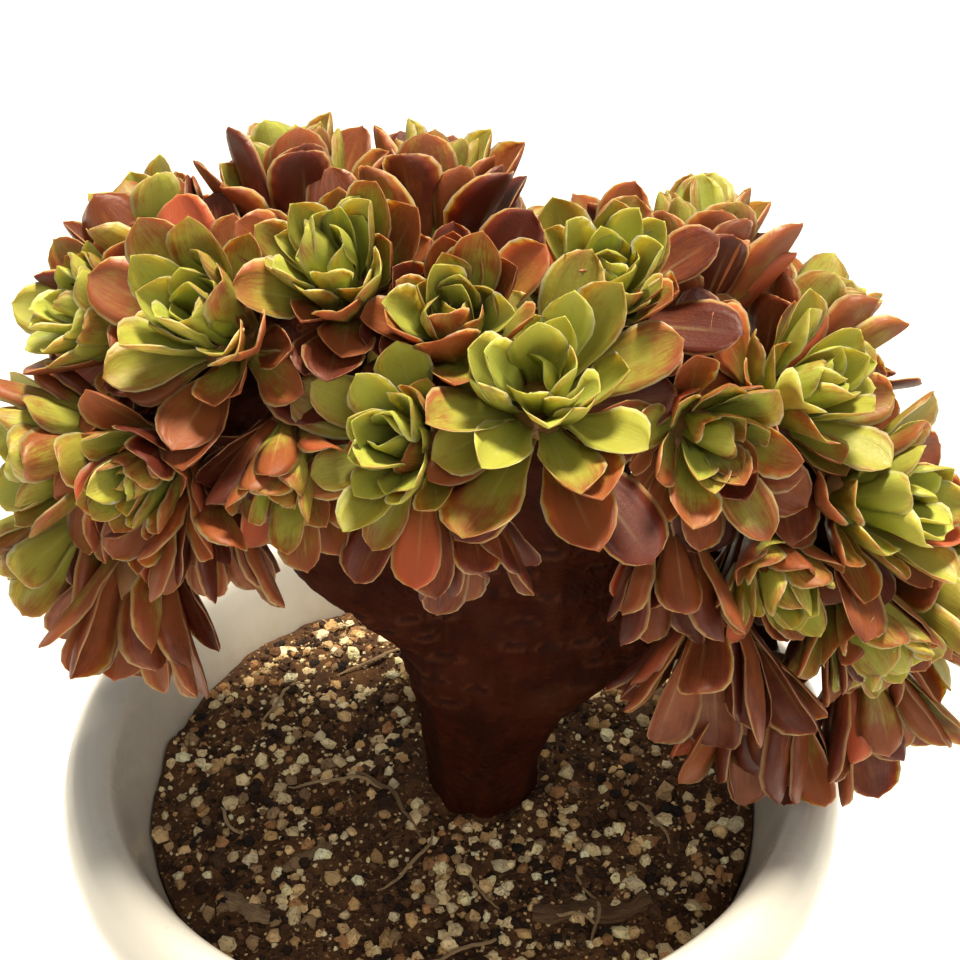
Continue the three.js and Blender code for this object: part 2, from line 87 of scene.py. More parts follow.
# Leafy heads: where the rosette springs from, the way it faces, its size, how far it has reddened (above 1 it
# also stands for painted shade, deepening a tuft to maroon), how far its old leaves open out as a share of the
# full tilt, and how far they hang.
HEADS = {
    "head_front_middle": ((19, -33, 266), (0.03, -0.62, 0.78), 1.1, 0, 0.85, 0.42),
    "head_front_middle_left": ((-4, -35, 259), (-0.35, -0.75, 0.55), 0.95, 0.05, 0.85, 0.42),
    "head_front_top_left": ((-20, -13, 280), (-0.1, -0.5, 0.86), 1, 0.1, 0.6, 0.42),
    "head_front_left": ((-43, -18, 273), (-0.25, -0.6, 0.76), 1.05, 0.3, 0.7, 0.42),
    "head_left_top": ((-64, -4, 268), (-0.7, -0.42, 0.6), 0.95, 0.1, 0.75, 0.42),
    "head_left": ((-70, -14, 246), (-0.86, -0.46, 0.2), 1.05, 0.25, 0.75, 0.42),
    "head_left_front": ((-56, -26, 252), (-0.4, -0.88, 0.15), 0.9, 0.6, 0.75, 0.7),
    "head_left_outer_low": ((-78, -8, 226), (-0.75, -0.45, -0.4), 1.05, 0.35, 0.7, 0.9),
    "head_left_low": ((-66, -20, 221), (-0.3, -0.9, -0.2), 1.25, 0.85, 0.8, 1.6),
    "head_left_front_low": ((-50, -28, 243), (-0.05, -0.95, -0.15), 1, 0.85, 0.8, 1.5),
    "head_front_left_low": ((-31, -28, 259), (-0.05, -0.98, -0.15), 0.95, 0.85, 0.75, 1),
    "head_front_low": ((4, -36, 248), (0.02, -0.93, -0.3), 0.9, 1.3, 0.75, 1.3),
    "head_front_upper": ((3, -21, 275), (-0.05, -0.6, 0.8), 0.95, 0.4, 0.5, 0.3),
    "head_front_top_right": ((31, -11, 276), (0.1, -0.5, 0.86), 0.98, 0.05, 0.6, 0.42),
    "head_front_right": ((50, -26, 259), (0.15, -0.92, 0.35), 0.95, 0.75, 0.8, 0.6),
    "head_front_right_low": ((47, -30, 235), (0.05, -0.93, -0.3), 1, 1.2, 0.8, 1.4),
    "head_right_top": ((68, -12, 254), (0.48, -0.5, 0.72), 1, 0.2, 0.65, 0.42),
    "head_right": ((85, -17, 233), (0.66, -0.6, 0.45), 1.05, 0.1, 0.75, 0.42),
    "head_right_end": ((103, -6, 200), (0.9, -0.4, 0.12), 1.1, 0, 0.85, 0.42),
    "head_right_middle": ((67, -25, 230), (0.25, -0.93, -0.1), 0.95, 0.4, 0.75, 0.8),
    "head_right_inner": ((60, -25, 207), (-0.1, -0.95, -0.2), 1.2, 1.2, 0.85, 1.5),
    "head_right_front_low": ((88, -20, 211), (0.4, -0.8, -0.2), 1, 0.3, 0.75, 0.9),
    "head_right_low": ((74, -20, 187), (0.02, -0.93, -0.3), 1.3, 1.1, 0.8, 1.6),
    "head_right_lowest": ((97, -14, 184), (0.4, -0.8, -0.35), 1.2, 0.9, 0.8, 1.4),
    "head_back_top_left": ((-57, 4, 267), (-0.3, 0.3, 0.9), 1.18, 0.22, 0.36, 0.3),
    "head_top_left": ((-31, 6, 279), (-0.1, 0.3, 0.95), 1.1, 0.22, 0.36, 0.3),
    "head_top": ((-3, 5, 278), (0.03, 0.3, 0.95), 1.08, 0.3, 0.36, 0.3),
    "head_top_right": ((50, 2, 264), (0.15, 0.3, 0.94), 1.23, 0.35, 0.36, 0.3),
    "head_back_top_right": ((72, 6, 248), (0.5, 0.3, 0.8), 1.1, 0.3, 0.45, 0.3),
    "head_back_left_end": ((-66, 17, 238), (-0.78, 0.55, 0.3), 1, 0.4, 0.81, 0.5),
    "head_back_left": ((-38, 32, 250), (-0.3, 0.9, 0.35), 1.05, 0.4, 0.81, 0.5),
    "head_back_middle_left": ((-16, 28, 266), (-0.1, 0.75, 0.66), 1, 0.5, 0.77, 0.4),
    "head_back_middle": ((10, 36, 250), (-0.03, 0.92, 0.35), 1.08, 0.5, 0.85, 0.6),
    "head_back_right": ((42, 32, 250), (0.15, 0.88, 0.45), 1.05, 0.4, 0.81, 0.5),
    "head_back_right_end": ((72, 27, 226), (0.5, 0.85, 0.15), 1.05, 0.4, 0.81, 0.6),
    "head_back_right_low": ((96, 14, 198), (0.8, 0.58, -0.05), 1, 0.5, 0.81, 0.7),
    "head_back_left_low": ((-60, 24, 214), (-0.4, 0.8, -0.4), 1.1, 0.9, 0.72, 1.3),
}
# Tufts under the crest, of large old leaves only.
TUFTS = (
    "head_left_low", "head_left_front_low", "head_front_low", "head_front_right_low", "head_right_inner",
    "head_right_low", "head_right_lowest", "head_back_left_low",
)
CORE = {"radius": 6.5, "top_radius": 3, "shoulder": 3, "top": 8, "height": 12, "neck": 4.8}
# height, radius: the core from its neck up
CORE_RINGS = [
    (0, CORE["neck"]), (1.4, 6.1), (CORE["shoulder"], CORE["radius"]), (5.5, 4.75),
    (CORE["top"], CORE["top_radius"]),
]
CORE_SIDES = 12
CORE_GROWTH = (0.9, 0.3, 0)  # how old, how far along and how far across a leaf the core looks
CORE_CHANCE = 0.3  # its draw, too low for a leaf with painted sunlight
CORE_REDNESS = (0.6, 1.0)  # in a green and in a red head
LEAF_LENGTH = 23.5
LEAF_SUNK = 1.8
LEAVES_IN_HEAD = 30
LEAVES_IN_TUFT = 15
OUTER_LEAVES = 7  # CAD models these, and of the inner leaves every fourth up to the bud
INNER_STEP = 4
OLDEST_LEAVES = 8  # small withering ones on the neck, under the modelled leaves, deepened to maroon as painted shade
GOLDEN_ANGLE = np.radians(137.508)
YOUNG = {"tilt": 0.12, "share": 0.78, "width": 0.46, "root": 6, "bend": 0.3, "cup": 0.55, "thick": 0.75}
OLD = {"tilt": 1.4, "share": 1, "width": 0.5, "root": 0.8, "bend": 0.1, "cup": 0.4, "thick": 1}
STRAY = {"turn": 0.35, "tilt": 0.3, "length": 0.18, "roll": 0.45, "width": 0.05, "bend": 0.5, "cup": 0.2}
# The scales, tilts and turns that CAD tries to clear a leaf from its neighbours.
NUDGES = (
    (1, 0.88, 0.76, 0.64), (0, -0.16, 0.16, -0.32, 0.32, -0.48, -0.64, -0.8), (0, 0.2, -0.2, 0.4, -0.4),
)
NUDGE_EFFORT = {"turn": 0.8, "scale": 2.5}  # against a tilt of 1
CAD_OUTLINE = ((0.52, 0.9), (0.85, 0.82))  # place along a CAD leaf and share of its half width at its corners
CORNER_MATCH = 0.02  # how near a leaf's outline lies to a corner of its CAD head
# Leaves that CAD leaves out stray less, are straighter and slimmer, and move aside for their neighbours.
MODELLED = {"stray": 1, "bend": 1, "width": 1, "length": 1}
FILLING = {"stray": 0.6, "bend": 0.35, "width": 0.93, "length": 1.04}
FILLING_NUDGES = ((1, 0.88, 0.76), (0, -0.12, 0.12, -0.24, 0.24), (0, 0.15, -0.15, 0.3, -0.3))
NEAR = 30  # neighbours spring from within this distance
TOUCHING = 0.2  # a leaf that crosses its neighbours by more than this is nudged
CROSSED = 6  # a leaf that still crosses them by this much is left out
PROBE_ALONG = np.linspace(0.3, 1, 8)  # where a leaf is tested, along it and across it
PROBE_ACROSS = (-0.8, 0, 0.8)

# A leaf's half width along its length, as shares, and its thickness at the rib, in millimetres.
LEAF_ROWS = [
    (0.05, 0.32, 2.0), (0.2, 0.43, 1.9), (0.38, 0.67, 1.7), (0.55, 0.92, 1.5),
    (0.7, 1.0, 1.3), (0.82, 0.93, 1.1), (0.91, 0.72, 0.9), (0.958, 0.42, 0.7), (0.98, 0.14, 0.5),
]
LEAF_ACROSS = np.array([-1, -0.58, 0, 0.58, 1, 0.58, 0, -0.58])
LEAF_SIDE = np.array([0.5, 0, 0, 0, 0.5, 1, 1, 1])  # 0 on the upper side, 1 underneath
LEAF_COLUMNS = len(LEAF_ACROSS)
LEAF_CROWN = (0.32, 0.68)  # shares of the thickness over and under the leaf's middle surface
LEAF_CHANNEL = {"depth": 0.35, "width": 0.3}  # the groove over the rib
LEAF_UNEVEN = 0.05  # how much a leaf's outline wavers
LEAF_LOWERED = 0.1  # how far a leaf's middle surface lies under the one that CAD builds on
SUNLIT_LEAVES = 0.9  # reddened leaves with a higher draw than this turn coral towards the tip, as painted sunlight

GRIT_PALETTE = [
    (0.92, 0.75, 0.44), (0.78, 0.55, 0.28), (0.96, 0.84, 0.56), (0.62, 0.4, 0.18), (0.44, 0.23, 0.1),
    (0.36, 0.24, 0.13),
]
CRUMB_PALETTE = [(0.034, 0.015, 0.007), (0.075, 0.036, 0.017), (0.016, 0.009, 0.006), (0.13, 0.063, 0.028)]
GRIT = {"first": 4000, "size": (0.45, 2.4), "flatness": 0.75, "sunk": 0.25}
CRUMBS = {"first": 90000, "size": (0.6, 2.2), "flatness": 0.7, "sunk": 0.1}
# How all grains are strewn: how far they stay from the mix's edge and the trunk, how far their size may pass
# the edge, how wide their clusters are, how many are kept on average and how much more in a cluster, how fast
# their size and their paleness fall off, and how rough they are.
STREWN = {
    "edge": 1.5, "trunk": 16, "past": 0.4, "cluster": 11, "kept": 0.72, "clustered": 0.75, "size_fall": 3.2,
    "pale_fall": 1.5, "rough": 0.28,
}

# Bark, in millimetres: how the CAD stem is rounded, how wide and long grooves and lumps are, and how high the
# lumps stand. Leaf scars start over one pair of heights with a share of their depth, have it all over the
# other pair, and some are missing.
ROUNDING = (0.55, -0.56)
ROUNDS = 14
WANDER = {"reach": 2.5, "size": 22}
GROOVE = {"width": 2.6, "length": 17}
LUMP = {"size": 9, "height": 0.6}
SCARS = {"round": 9, "up": 7, "starts": (132, 142), "full": (150, 175), "share": 0.35, "missing": 0.35}


# ---- sizes and colours a user may change -----------------------------------------------------------------

def colour(name, description, default):
    return FloatVectorProperty(name=name, description=description, default=default, size=3, min=0, max=1,
                               subtype="COLOR")


def length(name, description, default):
    return FloatProperty(name=name, description=description, default=default, min=0, unit="LENGTH")


class PotSettings(bpy.types.PropertyGroup):
    """The glazed pot."""
    rim_radius: length("Rim radius", "Outermost radius of the rolled rim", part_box("pot")[1][0])
    height: length("Height", "Height of the pot over its foot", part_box("pot")[1][2])
    glaze: colour("Glaze", "Colour of the satin glaze", (0.63, 0.612, 0.56))
    stain: colour("Stain", "Colour of the film of dust above the mix", (0.5, 0.44, 0.35))


class MixSettings(bpy.types.PropertyGroup):
    """The potting mix with its grit."""
    grains: IntProperty(name="Grains", description="Number of pale grains on the mix", default=3700, min=0)
    crumbs: IntProperty(name="Crumbs", description="Number of dark crumbs on the mix", default=3000, min=0)
    peat: colour("Peat", "Colour of the damp peat", (0.045, 0.018, 0.007))
    dry_peat: colour("Dry peat", "Colour of the peat where it has dried", (0.12, 0.056, 0.023))


class StemSettings(bpy.types.PropertyGroup):
    """The fasciated trunk and its arms."""
    grain: length("Grain", "Edge of the faces that the bark is modelled with", 0.0013)
    groove: length("Groove", "Depth of the lengthwise grooves", 0.0005)
    scar: length("Scar", "Depth of the leaf scars", 0.0005)
    bark: colour("Bark", "Colour of the bark", (0.03, 0.0055, 0.0018))
    worn: colour("Worn bark", "Colour of the bark on ridges and round scars", (0.055, 0.012, 0.0035))


class LeafSettings(bpy.types.PropertyGroup):
    """The leafy heads."""
    young: colour("Young leaf", "Colour of the youngest leaves", (0.42, 0.452, 0.078))
    olive: colour("Grown leaf", "Colour of the grown leaves", (0.295, 0.27, 0.04))
    brown: colour("Blush", "Colour of leaves that have begun to redden", (0.27, 0.077, 0.024))
    maroon: colour("Red leaf", "Colour of the reddest leaves", (0.095, 0.017, 0.008))
    # painted sunlight: the coral that a few reddened leaves turn towards the tip
    sunlit_colour: colour("Sunned leaf", "Colour of leaves bleached by the sun", (0.5, 0.11, 0.045))
    margin: colour("Margin", "Colour of the thin horny margin", (0.72, 0.62, 0.26))
    wave: length("Edge wave", "How far a leaf's edge waves up and down", 0.00035)


class StageSettings(bpy.types.PropertyGroup):
    """Floor, light and camera."""
    floor: colour("Floor", "Colour of the floor", (0.74, 0.735, 0.72))
    sun: FloatProperty(name="Sun", description="Strength of the sunlight", default=7.1, min=0)
    fill: FloatProperty(name="Fill light", description="Power of the fill light", default=3.5, min=0,
                        unit="POWER")
    sky: FloatProperty(name="Sky", description="Strength of the even light all round", default=0.34, min=0)


# ---- draws, noise and small sums -------------------------------------------------------------------------

def draw(seed):
    """A repeatable draw from 0 to 1 for each whole number: the fraction of a large multiple of a sine."""
    value = np.sin(np.asarray(seed, float) * 12.9898 + 4.1414) * 43758.5453
    return value - np.floor(value)


def spread(seed, reach):
    return (2 * draw(seed) - 1) * reach


def mix(a, b, share):
    return a + (b - a) * share


def unit(v):
    return v / np.linalg.norm(v, axis=-1, keepdims=True)


def dot(a, b):
    return np.sum(a * b, axis=-1, keepdims=True)


def smooth_step(low, high, value):
    t = np.clip((value - low) / (high - low), 0, 1)
    return t * t * (3 - 2 * t)


def value_noise(points, seed):
    """Smooth noise from -1 to 1: draws at a unit lattice's corners, blended by a cubic of the place in it."""
    cell = np.floor(points)
    inside = points - cell
    weight = inside * inside * (3 - 2 * inside)
    total = 0
    for corner in np.ndindex(2, 2, 2):
        share = np.prod(np.where(corner, weight, 1 - weight), axis=-1)
        key = (cell + corner) @ np.array([127.1, 311.7, 74.7]) + seed * 19.19
        total = total + share * draw(np.round(key * 10))
    return total * 2 - 1


# ---- meshes ----------------------------------------------------------------------------------------------

def grid_faces(rows, columns):
    """Quads of a grid that is closed round its columns, wound so that they face away from its axis."""
    row = np.arange(rows - 1)[:, None] * columns
    here = np.arange(columns)[None, :]
    there = (here + 1) % columns
    return np.stack([row + here, row + there, row + columns + there, row + columns + here], -1).reshape(-1, 4)


def capped_faces(rows, columns):
    """Faces of a closed tube: a start point, rows of columns points each, and an end point, in that order."""
    here = np.arange(columns)
    there = (here + 1) % columns
    start, end = 0, 1 + rows * columns
    last = 1 + (rows - 1) * columns
    quads = grid_faces(rows, columns) + 1
    fans = [np.stack([np.full(columns, start), 1 + there, 1 + here], -1),
            np.stack([last + here, last + there, np.full(columns, end)], -1)]
    return quads, np.concatenate(fans)


def repeat_faces(faces, count, stride):
    """The same faces for count copies of a shape whose points follow each other in strides."""
    return (faces[None] + (np.arange(count) * stride)[:, None, None]).reshape(-1, faces.shape[1])


def new_mesh(name, points, *face_sets):
    """A mesh from points in metres and arrays of triangles or quads."""
    mesh = bpy.data.meshes.new(name)
    loops = np.concatenate([f.ravel() for f in face_sets]).astype(np.int32)
    sizes = np.concatenate([np.full(len(f), f.shape[1]) for f in face_sets])
    starts = np.concatenate([[0], np.cumsum(sizes)[:-1]]).astype(np.int32)
    mesh.vertices.add(len(points))
    mesh.vertices.foreach_set("co", np.asarray(points, np.float32).ravel())
    mesh.loops.add(len(loops))
    mesh.loops.foreach_set("vertex_index", loops)
    mesh.polygons.add(len(sizes))
    mesh.polygons.foreach_set("loop_start", starts)
    mesh.update(calc_edges=True)
    mesh.validate()
    return mesh


def attribute(mesh, name, values):
    """A vector for each point of the mesh, which its material reads."""
    layer = mesh.attributes.new(name, "FLOAT_VECTOR", "POINT")
    layer.data.foreach_set("vector", np.asarray(values, np.float32).ravel())


def points_of(mesh):
    points = np.empty(len(mesh.vertices) * 3, np.float32)
    mesh.vertices.foreach_get("co", points)
    return points.reshape(-1, 3).astype(float)


def move_points(mesh, points):
    mesh.vertices.foreach_set("co", points.astype(np.float32).ravel())
    mesh.update()


def place(name, mesh, material, slot, *replaced, smooth=True):
    """The mesh as a piece of the object, riding on its one body and standing for the CAD nodes given."""
    piece = bpy.data.objects.new(name, mesh)
    bpy.context.scene.collection.objects.link(piece)
    mesh.materials.clear()
    mesh.materials.append(material)
    mesh.polygons.foreach_set("use_smooth", np.full(len(mesh.polygons), smooth))
    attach(piece, "root")
    if replaced:
        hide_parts(*replaced)


def finished(source, kind, **settings):
    """The mesh that a modifier leaves of an object, which is then removed."""
    modifier = source.modifiers.new(kind.title(), kind)
    for key, value in settings.items():
        setattr(modifier, key, value)
    shown = source.evaluated_get(bpy.context.evaluated_depsgraph_get())
    mesh = bpy.data.meshes.new_from_object(shown)
    bpy.data.objects.remove(source)
    return mesh


def loose(mesh):
    """An object that holds a mesh while a modifier works on it."""
    holder = bpy.data.objects.new("work", mesh)
    bpy.context.scene.collection.objects.link(holder)
    return holder


def turned(profile, sides):
    """A surface of revolution: each profile point (radius, z) is carried round Z. Both ends lie on Z."""
    angle = 2 * np.pi * np.arange(sides) / sides
    rings = np.array(profile[1:-1], float)
    x = rings[:, :1] * np.cos(angle)
    y = rings[:, :1] * np.sin(angle)
    z = np.repeat(rings[:, 1:], sides, 1)
    body = np.stack([x, y, z], -1).reshape(-1, 3)
    start, end = [[0, 0, profile[0][1]]], [[0, 0, profile[-1][1]]]
    return np.concatenate([start, body, end]), capped_faces(len(rings), sides)


# ---- node helpers ----------------------------------------------------------------------------------------

def add(tree, kind, settings=None, **inputs):
    """A node with its settings and inputs. An input is a value or the socket that feeds it."""
    node = tree.nodes.new(kind)
    for key, value in (settings or {}).items():
        setattr(node, key, value)
    for key, value in inputs.items():
        feed(tree, node.inputs[key.replace("_", " ")], value)
    return node


def feed(tree, socket, value):
    if isinstance(value, bpy.types.NodeSocket):
        tree.links.new(value, socket)
    else:
        socket.default_value = value


def rgba(value):
    return value if isinstance(value, bpy.types.NodeSocket) else (*value, 1)


def blend(tree, factor, a, b, way="MIX"):
    """Colour a turning into colour b as the factor goes from 0 to 1."""
    node = tree.nodes.new("ShaderNodeMix")
    node.data_type, node.blend_type = "RGBA", way
    for index, value in ((0, factor), (6, rgba(a)), (7, rgba(b))):
        feed(tree, node.inputs[index], value)
    return node.outputs[2]


def math(tree, operation, a, b=0.5, clamp=False):
    node = tree.nodes.new("ShaderNodeMath")
    node.operation, node.use_clamp = operation, clamp
    feed(tree, node.inputs[0], a)
    feed(tree, node.inputs[1], b)
    return node.outputs[0]


def ramp(tree, value, low, high, out_low=0.0, out_high=1.0):
    """The value from low to high, smoothly spread from out_low to out_high."""
    node = add(tree, "ShaderNodeMapRange", {"interpolation_type": "SMOOTHSTEP"}, Value=value, From_Min=low,
               From_Max=high, To_Min=out_low, To_Max=out_high)
    return node.outputs[0]


def parts_of(tree, name):
    """The three numbers of a piece's own attribute."""
    read = add(tree, "ShaderNodeAttribute", {"attribute_name": name})
    split = add(tree, "ShaderNodeSeparateXYZ", Vector=read.outputs["Vector"])
    return split.outputs


def object_place(tree):
    return add(tree, "ShaderNodeTexCoord").outputs["Object"]


def noise(tree, place_of, scale, detail=3.0, roughness=0.55):
    return add(tree, "ShaderNodeTexNoise", Vector=place_of, Scale=scale, Detail=detail,
               Roughness=roughness).outputs["Fac"]


def group_socket(group, name, way, kind, default=None):
    socket = group.interface.new_socket(name=name, in_out=way, socket_type=kind)
    if default is not None:
        socket.default_value = default


def mottle_group():
    """Two colours in soft patches that break up at their edges, for surfaces that weathered unevenly."""
    group = bpy.data.node_groups.new("Mottle", "ShaderNodeTree")
    group_socket(group, "Place", "INPUT", "NodeSocketVector")
    group_socket(group, "Scale", "INPUT", "NodeSocketFloat", 100)
    group_socket(group, "Amount", "INPUT", "NodeSocketFloat", 0.5)
    group_socket(group, "Ground", "INPUT", "NodeSocketColor")
    group_socket(group, "Patch", "INPUT", "NodeSocketColor")
    group_socket(group, "Colour", "OUTPUT", "NodeSocketColor")
    group_socket(group, "Mask", "OUTPUT", "NodeSocketFloat")
    given = group.nodes.new("NodeGroupInput").outputs
    made = group.nodes.new("NodeGroupOutput").inputs
    broad = noise(group, given["Place"], given["Scale"], 5.0, 0.62)
    fine = noise(group, given["Place"], math(group, "MULTIPLY", given["Scale"], 5.3), 3.0)
    both = math(group, "ADD", math(group, "MULTIPLY", broad, 0.75), math(group, "MULTIPLY", fine, 0.25))
    mask = math(group, "MULTIPLY", ramp(group, both, 0.38, 0.62), given["Amount"])
    feed(group, made["Colour"], blend(group, mask, given["Ground"], given["Patch"]))
    feed(group, made["Mask"], mask)
    return group


def pitting_group():
    """The height of a surface with fine grain and scattered small pits."""
    group = bpy.data.node_groups.new("Pitting", "ShaderNodeTree")
    group_socket(group, "Place", "INPUT", "NodeSocketVector")
    group_socket(group, "Scale", "INPUT", "NodeSocketFloat", 600)
    group_socket(group, "Pits", "INPUT", "NodeSocketFloat", 0.5)
    group_socket(group, "Height", "OUTPUT", "NodeSocketFloat")
    given = group.nodes.new("NodeGroupInput").outputs
    made = group.nodes.new("NodeGroupOutput").inputs
    grain = noise(group, given["Place"], given["Scale"], 4.0, 0.6)
    cells = add(group, "ShaderNodeTexVoronoi", Vector=given["Place"],
                Scale=math(group, "MULTIPLY", given["Scale"], 0.7)).outputs["Distance"]
    pits = math(group, "MULTIPLY", ramp(group, cells, 0.05, 0.35), given["Pits"])
    feed(group, made["Height"], math(group, "ADD", grain, pits))
    return group


SHARED = {}


def shared(tree, maker, **inputs):
    """An effect that several materials use, built once and placed with this material's own values."""
    if maker.__name__ not in SHARED:
        SHARED[maker.__name__] = maker()
    return add(tree, "ShaderNodeGroup", {"node_tree": SHARED[maker.__name__]}, **inputs).outputs


def new_material(name):
    material = bpy.data.materials.new(name)
    material.use_nodes = True
    return material, material.node_tree, material.node_tree.nodes["Principled BSDF"]


def relief(tree, shader, height, distance, strength=1.0):
    """Bump from a height, in metres, that tilts the shading of the surface."""
    bump = add(tree, "ShaderNodeBump", Height=height, Distance=distance, Strength=strength)
    tree.links.new(bump.outputs["Normal"], shader.inputs["Normal"])


# ---- materials -------------------------------------------------------------------------------------------

def glaze_material(settings):
    """Satin white glaze, a little warmer in patches, with dust on the inner wall just above the mix."""
    material, tree, shader = new_material("satin_glaze")
    where = object_place(tree)
    height = add(tree, "ShaderNodeSeparateXYZ", Vector=where).outputs["Z"]
    warm = tuple(c * k for c, k in zip(settings.glaze, (0.98, 0.95, 0.89)))
    body = shared(tree, mottle_group, Place=where, Scale=7.0, Amount=0.2, Ground=(*settings.glaze, 1),
                  Patch=(*warm, 1))["Colour"]
    axis = add(tree, "ShaderNodeVectorMath", {"operation": "MULTIPLY"}, Vector=where)
    axis.inputs[1].default_value = (1, 1, 0)
    radius = add(tree, "ShaderNodeVectorMath", {"operation": "LENGTH"}, Vector=axis.outputs["Vector"])
    inner = ramp(tree, radius.outputs["Value"], *(r * MM for r in WALL_DUST["radii"]))
    film = ramp(tree, height, *(z * MM for z in WALL_DUST["heights"]))
    streaks = ramp(tree, noise(tree, where, 210.0, 4.0), 0.3, 0.75, 0.45, 0.8)
    dust = math(tree, "MULTIPLY", math(tree, "MULTIPLY", inner, film), streaks)
    specks = add(tree, "ShaderNodeTexVoronoi", Vector=where, Scale=420.0).outputs["Distance"]
    speck = math(tree, "MULTIPLY", ramp(tree, specks, 0.12, 0.06), 0.2)
    coloured = blend(tree, dust, body, settings.stain)
    feed(tree, shader.inputs["Base Color"], blend(tree, speck, coloured, (0.5, 0.43, 0.34)))
    rough = ramp(tree, noise(tree, where, 60.0), 0.3, 0.7, 0.26, 0.4)
    feed(tree, shader.inputs["Roughness"], math(tree, "ADD", rough, math(tree, "MULTIPLY", dust, 0.4)))
    shader.inputs["Coat Weight"].default_value = 0.25
    shader.inputs["Coat Roughness"].default_value = 0.12
    ripple = shared(tree, pitting_group, Place=where, Scale=160.0, Pits=0.1)["Height"]
    relief(tree, shader, ripple, 0.00025, 0.35)
    return material


def peat_material(settings):
    """Dark damp peat that has dried paler on its lumps."""
    material, tree, shader = new_material("peat_mix")
    where = object_place(tree)
    body = shared(tree, mottle_group, Place=where, Scale=150.0, Amount=0.9, Ground=(*settings.peat, 1),
                  Patch=(*settings.dry_peat, 1))
    fleck = noise(tree, where, 800.0, 2.0)
    fibre = ramp(tree, fleck, 0.6, 0.68, 0.0, 0.8)
    feed(tree, shader.inputs["Base Color"], blend(tree, fibre, body["Colour"], (0.4, 0.27, 0.13)))
    feed(tree, shader.inputs["Roughness"], ramp(tree, body["Mask"], 0.0, 1.0, 0.72, 0.97))
    shader.inputs["Specular IOR Level"].default_value = 0.25
    relief(tree, shader, shared(tree, pitting_group, Place=where, Scale=700.0, Pits=0.8)["Height"], 0.0011)
    return material


def grit_material():
    """Pumice, gravel and crumbs: each grain has its own colour, dusted with peat and pitted."""
    material, tree, shader = new_material("grit")
    where = object_place(tree)
    own = add(tree, "ShaderNodeAttribute", {"attribute_name": "grain_colour"}).outputs["Color"]
    darker = blend(tree, 1.0, own, (0.6, 0.54, 0.46), "MULTIPLY")
    body = shared(tree, mottle_group, Place=where, Scale=420.0, Amount=0.6, Ground=own, Patch=darker)
    feed(tree, shader.inputs["Base Color"], body["Colour"])
    feed(tree, shader.inputs["Roughness"], ramp(tree, body["Mask"], 0.0, 1.0, 0.7, 0.95))
    shader.inputs["Specular IOR Level"].default_value = 0.3
    relief(tree, shader, shared(tree, pitting_group, Place=where, Scale=1300.0, Pits=0.9)["Height"], 0.0006)
    return material


def root_material():
    """Dry roots and bark scraps: tan to dark brown, streaked along their length."""
    material, tree, shader = new_material("dry_root")
    where = object_place(tree)
    along = parts_of(tree, "strand")
    streak = noise(tree, add(tree, "ShaderNodeCombineXYZ", X=math(tree, "MULTIPLY", along["X"], 2.0),
                             Y=math(tree, "MULTIPLY", along["Y"], 9.0), Z=along["Z"]).outputs[0], 3.0)
    dark = blend(tree, along["Z"], (0.04, 0.017, 0.008), (0.3, 0.2, 0.1))
    pale = blend(tree, along["Z"], (0.1, 0.048, 0.022), (0.46, 0.34, 0.2))
    feed(tree, shader.inputs["Base Color"], blend(tree, ramp(tree, streak, 0.35, 0.65), dark, pale))
    feed(tree, shader.inputs["Roughness"], ramp(tree, streak, 0.3, 0.7, 0.7, 0.92))
    shader.inputs["Specular IOR Level"].default_value = 0.2
    relief(tree, shader, shared(tree, pitting_group, Place=where, Scale=900.0, Pits=0.3)["Height"], 0.0006)
    return material


def bark_material(settings):
    """Very dark red-brown bark, paler on its ridges and round the leaf scars, with a dull bloom in places."""
    material, tree, shader = new_material("stem_bark")
    where = object_place(tree)
    scar, ridge, rim = parts_of(tree, "bark")
    body = shared(tree, mottle_group, Place=where, Scale=70.0, Amount=0.8, Ground=(*settings.bark, 1),
                  Patch=tuple(c * 2.0 for c in settings.bark) + (1,))
    ridged = blend(tree, ramp(tree, ridge, 0.45, 0.95, 0.0, 0.75), body["Colour"], settings.worn)
    rimmed = blend(tree, math(tree, "MULTIPLY", rim, 0.6), ridged, (0.11, 0.034, 0.014))
    scarred = blend(tree, math(tree, "MULTIPLY", scar, 0.7), rimmed, (0.022, 0.007, 0.005))
    bloom = ramp(tree, noise(tree, where, 34.0, 5.0), 0.6, 0.78, 0.0, 0.35)
    feed(tree, shader.inputs["Base Color"], blend(tree, bloom, scarred, (0.1, 0.036, 0.015)))
    feed(tree, shader.inputs["Roughness"], ramp(tree, noise(tree, where, 120.0), 0.3, 0.7, 0.6, 0.9))
    shader.inputs["Specular IOR Level"].default_value = 0.1
    relief(tree, shader, shared(tree, pitting_group, Place=where, Scale=420.0, Pits=0.35)["Height"], 0.0009)
    return material


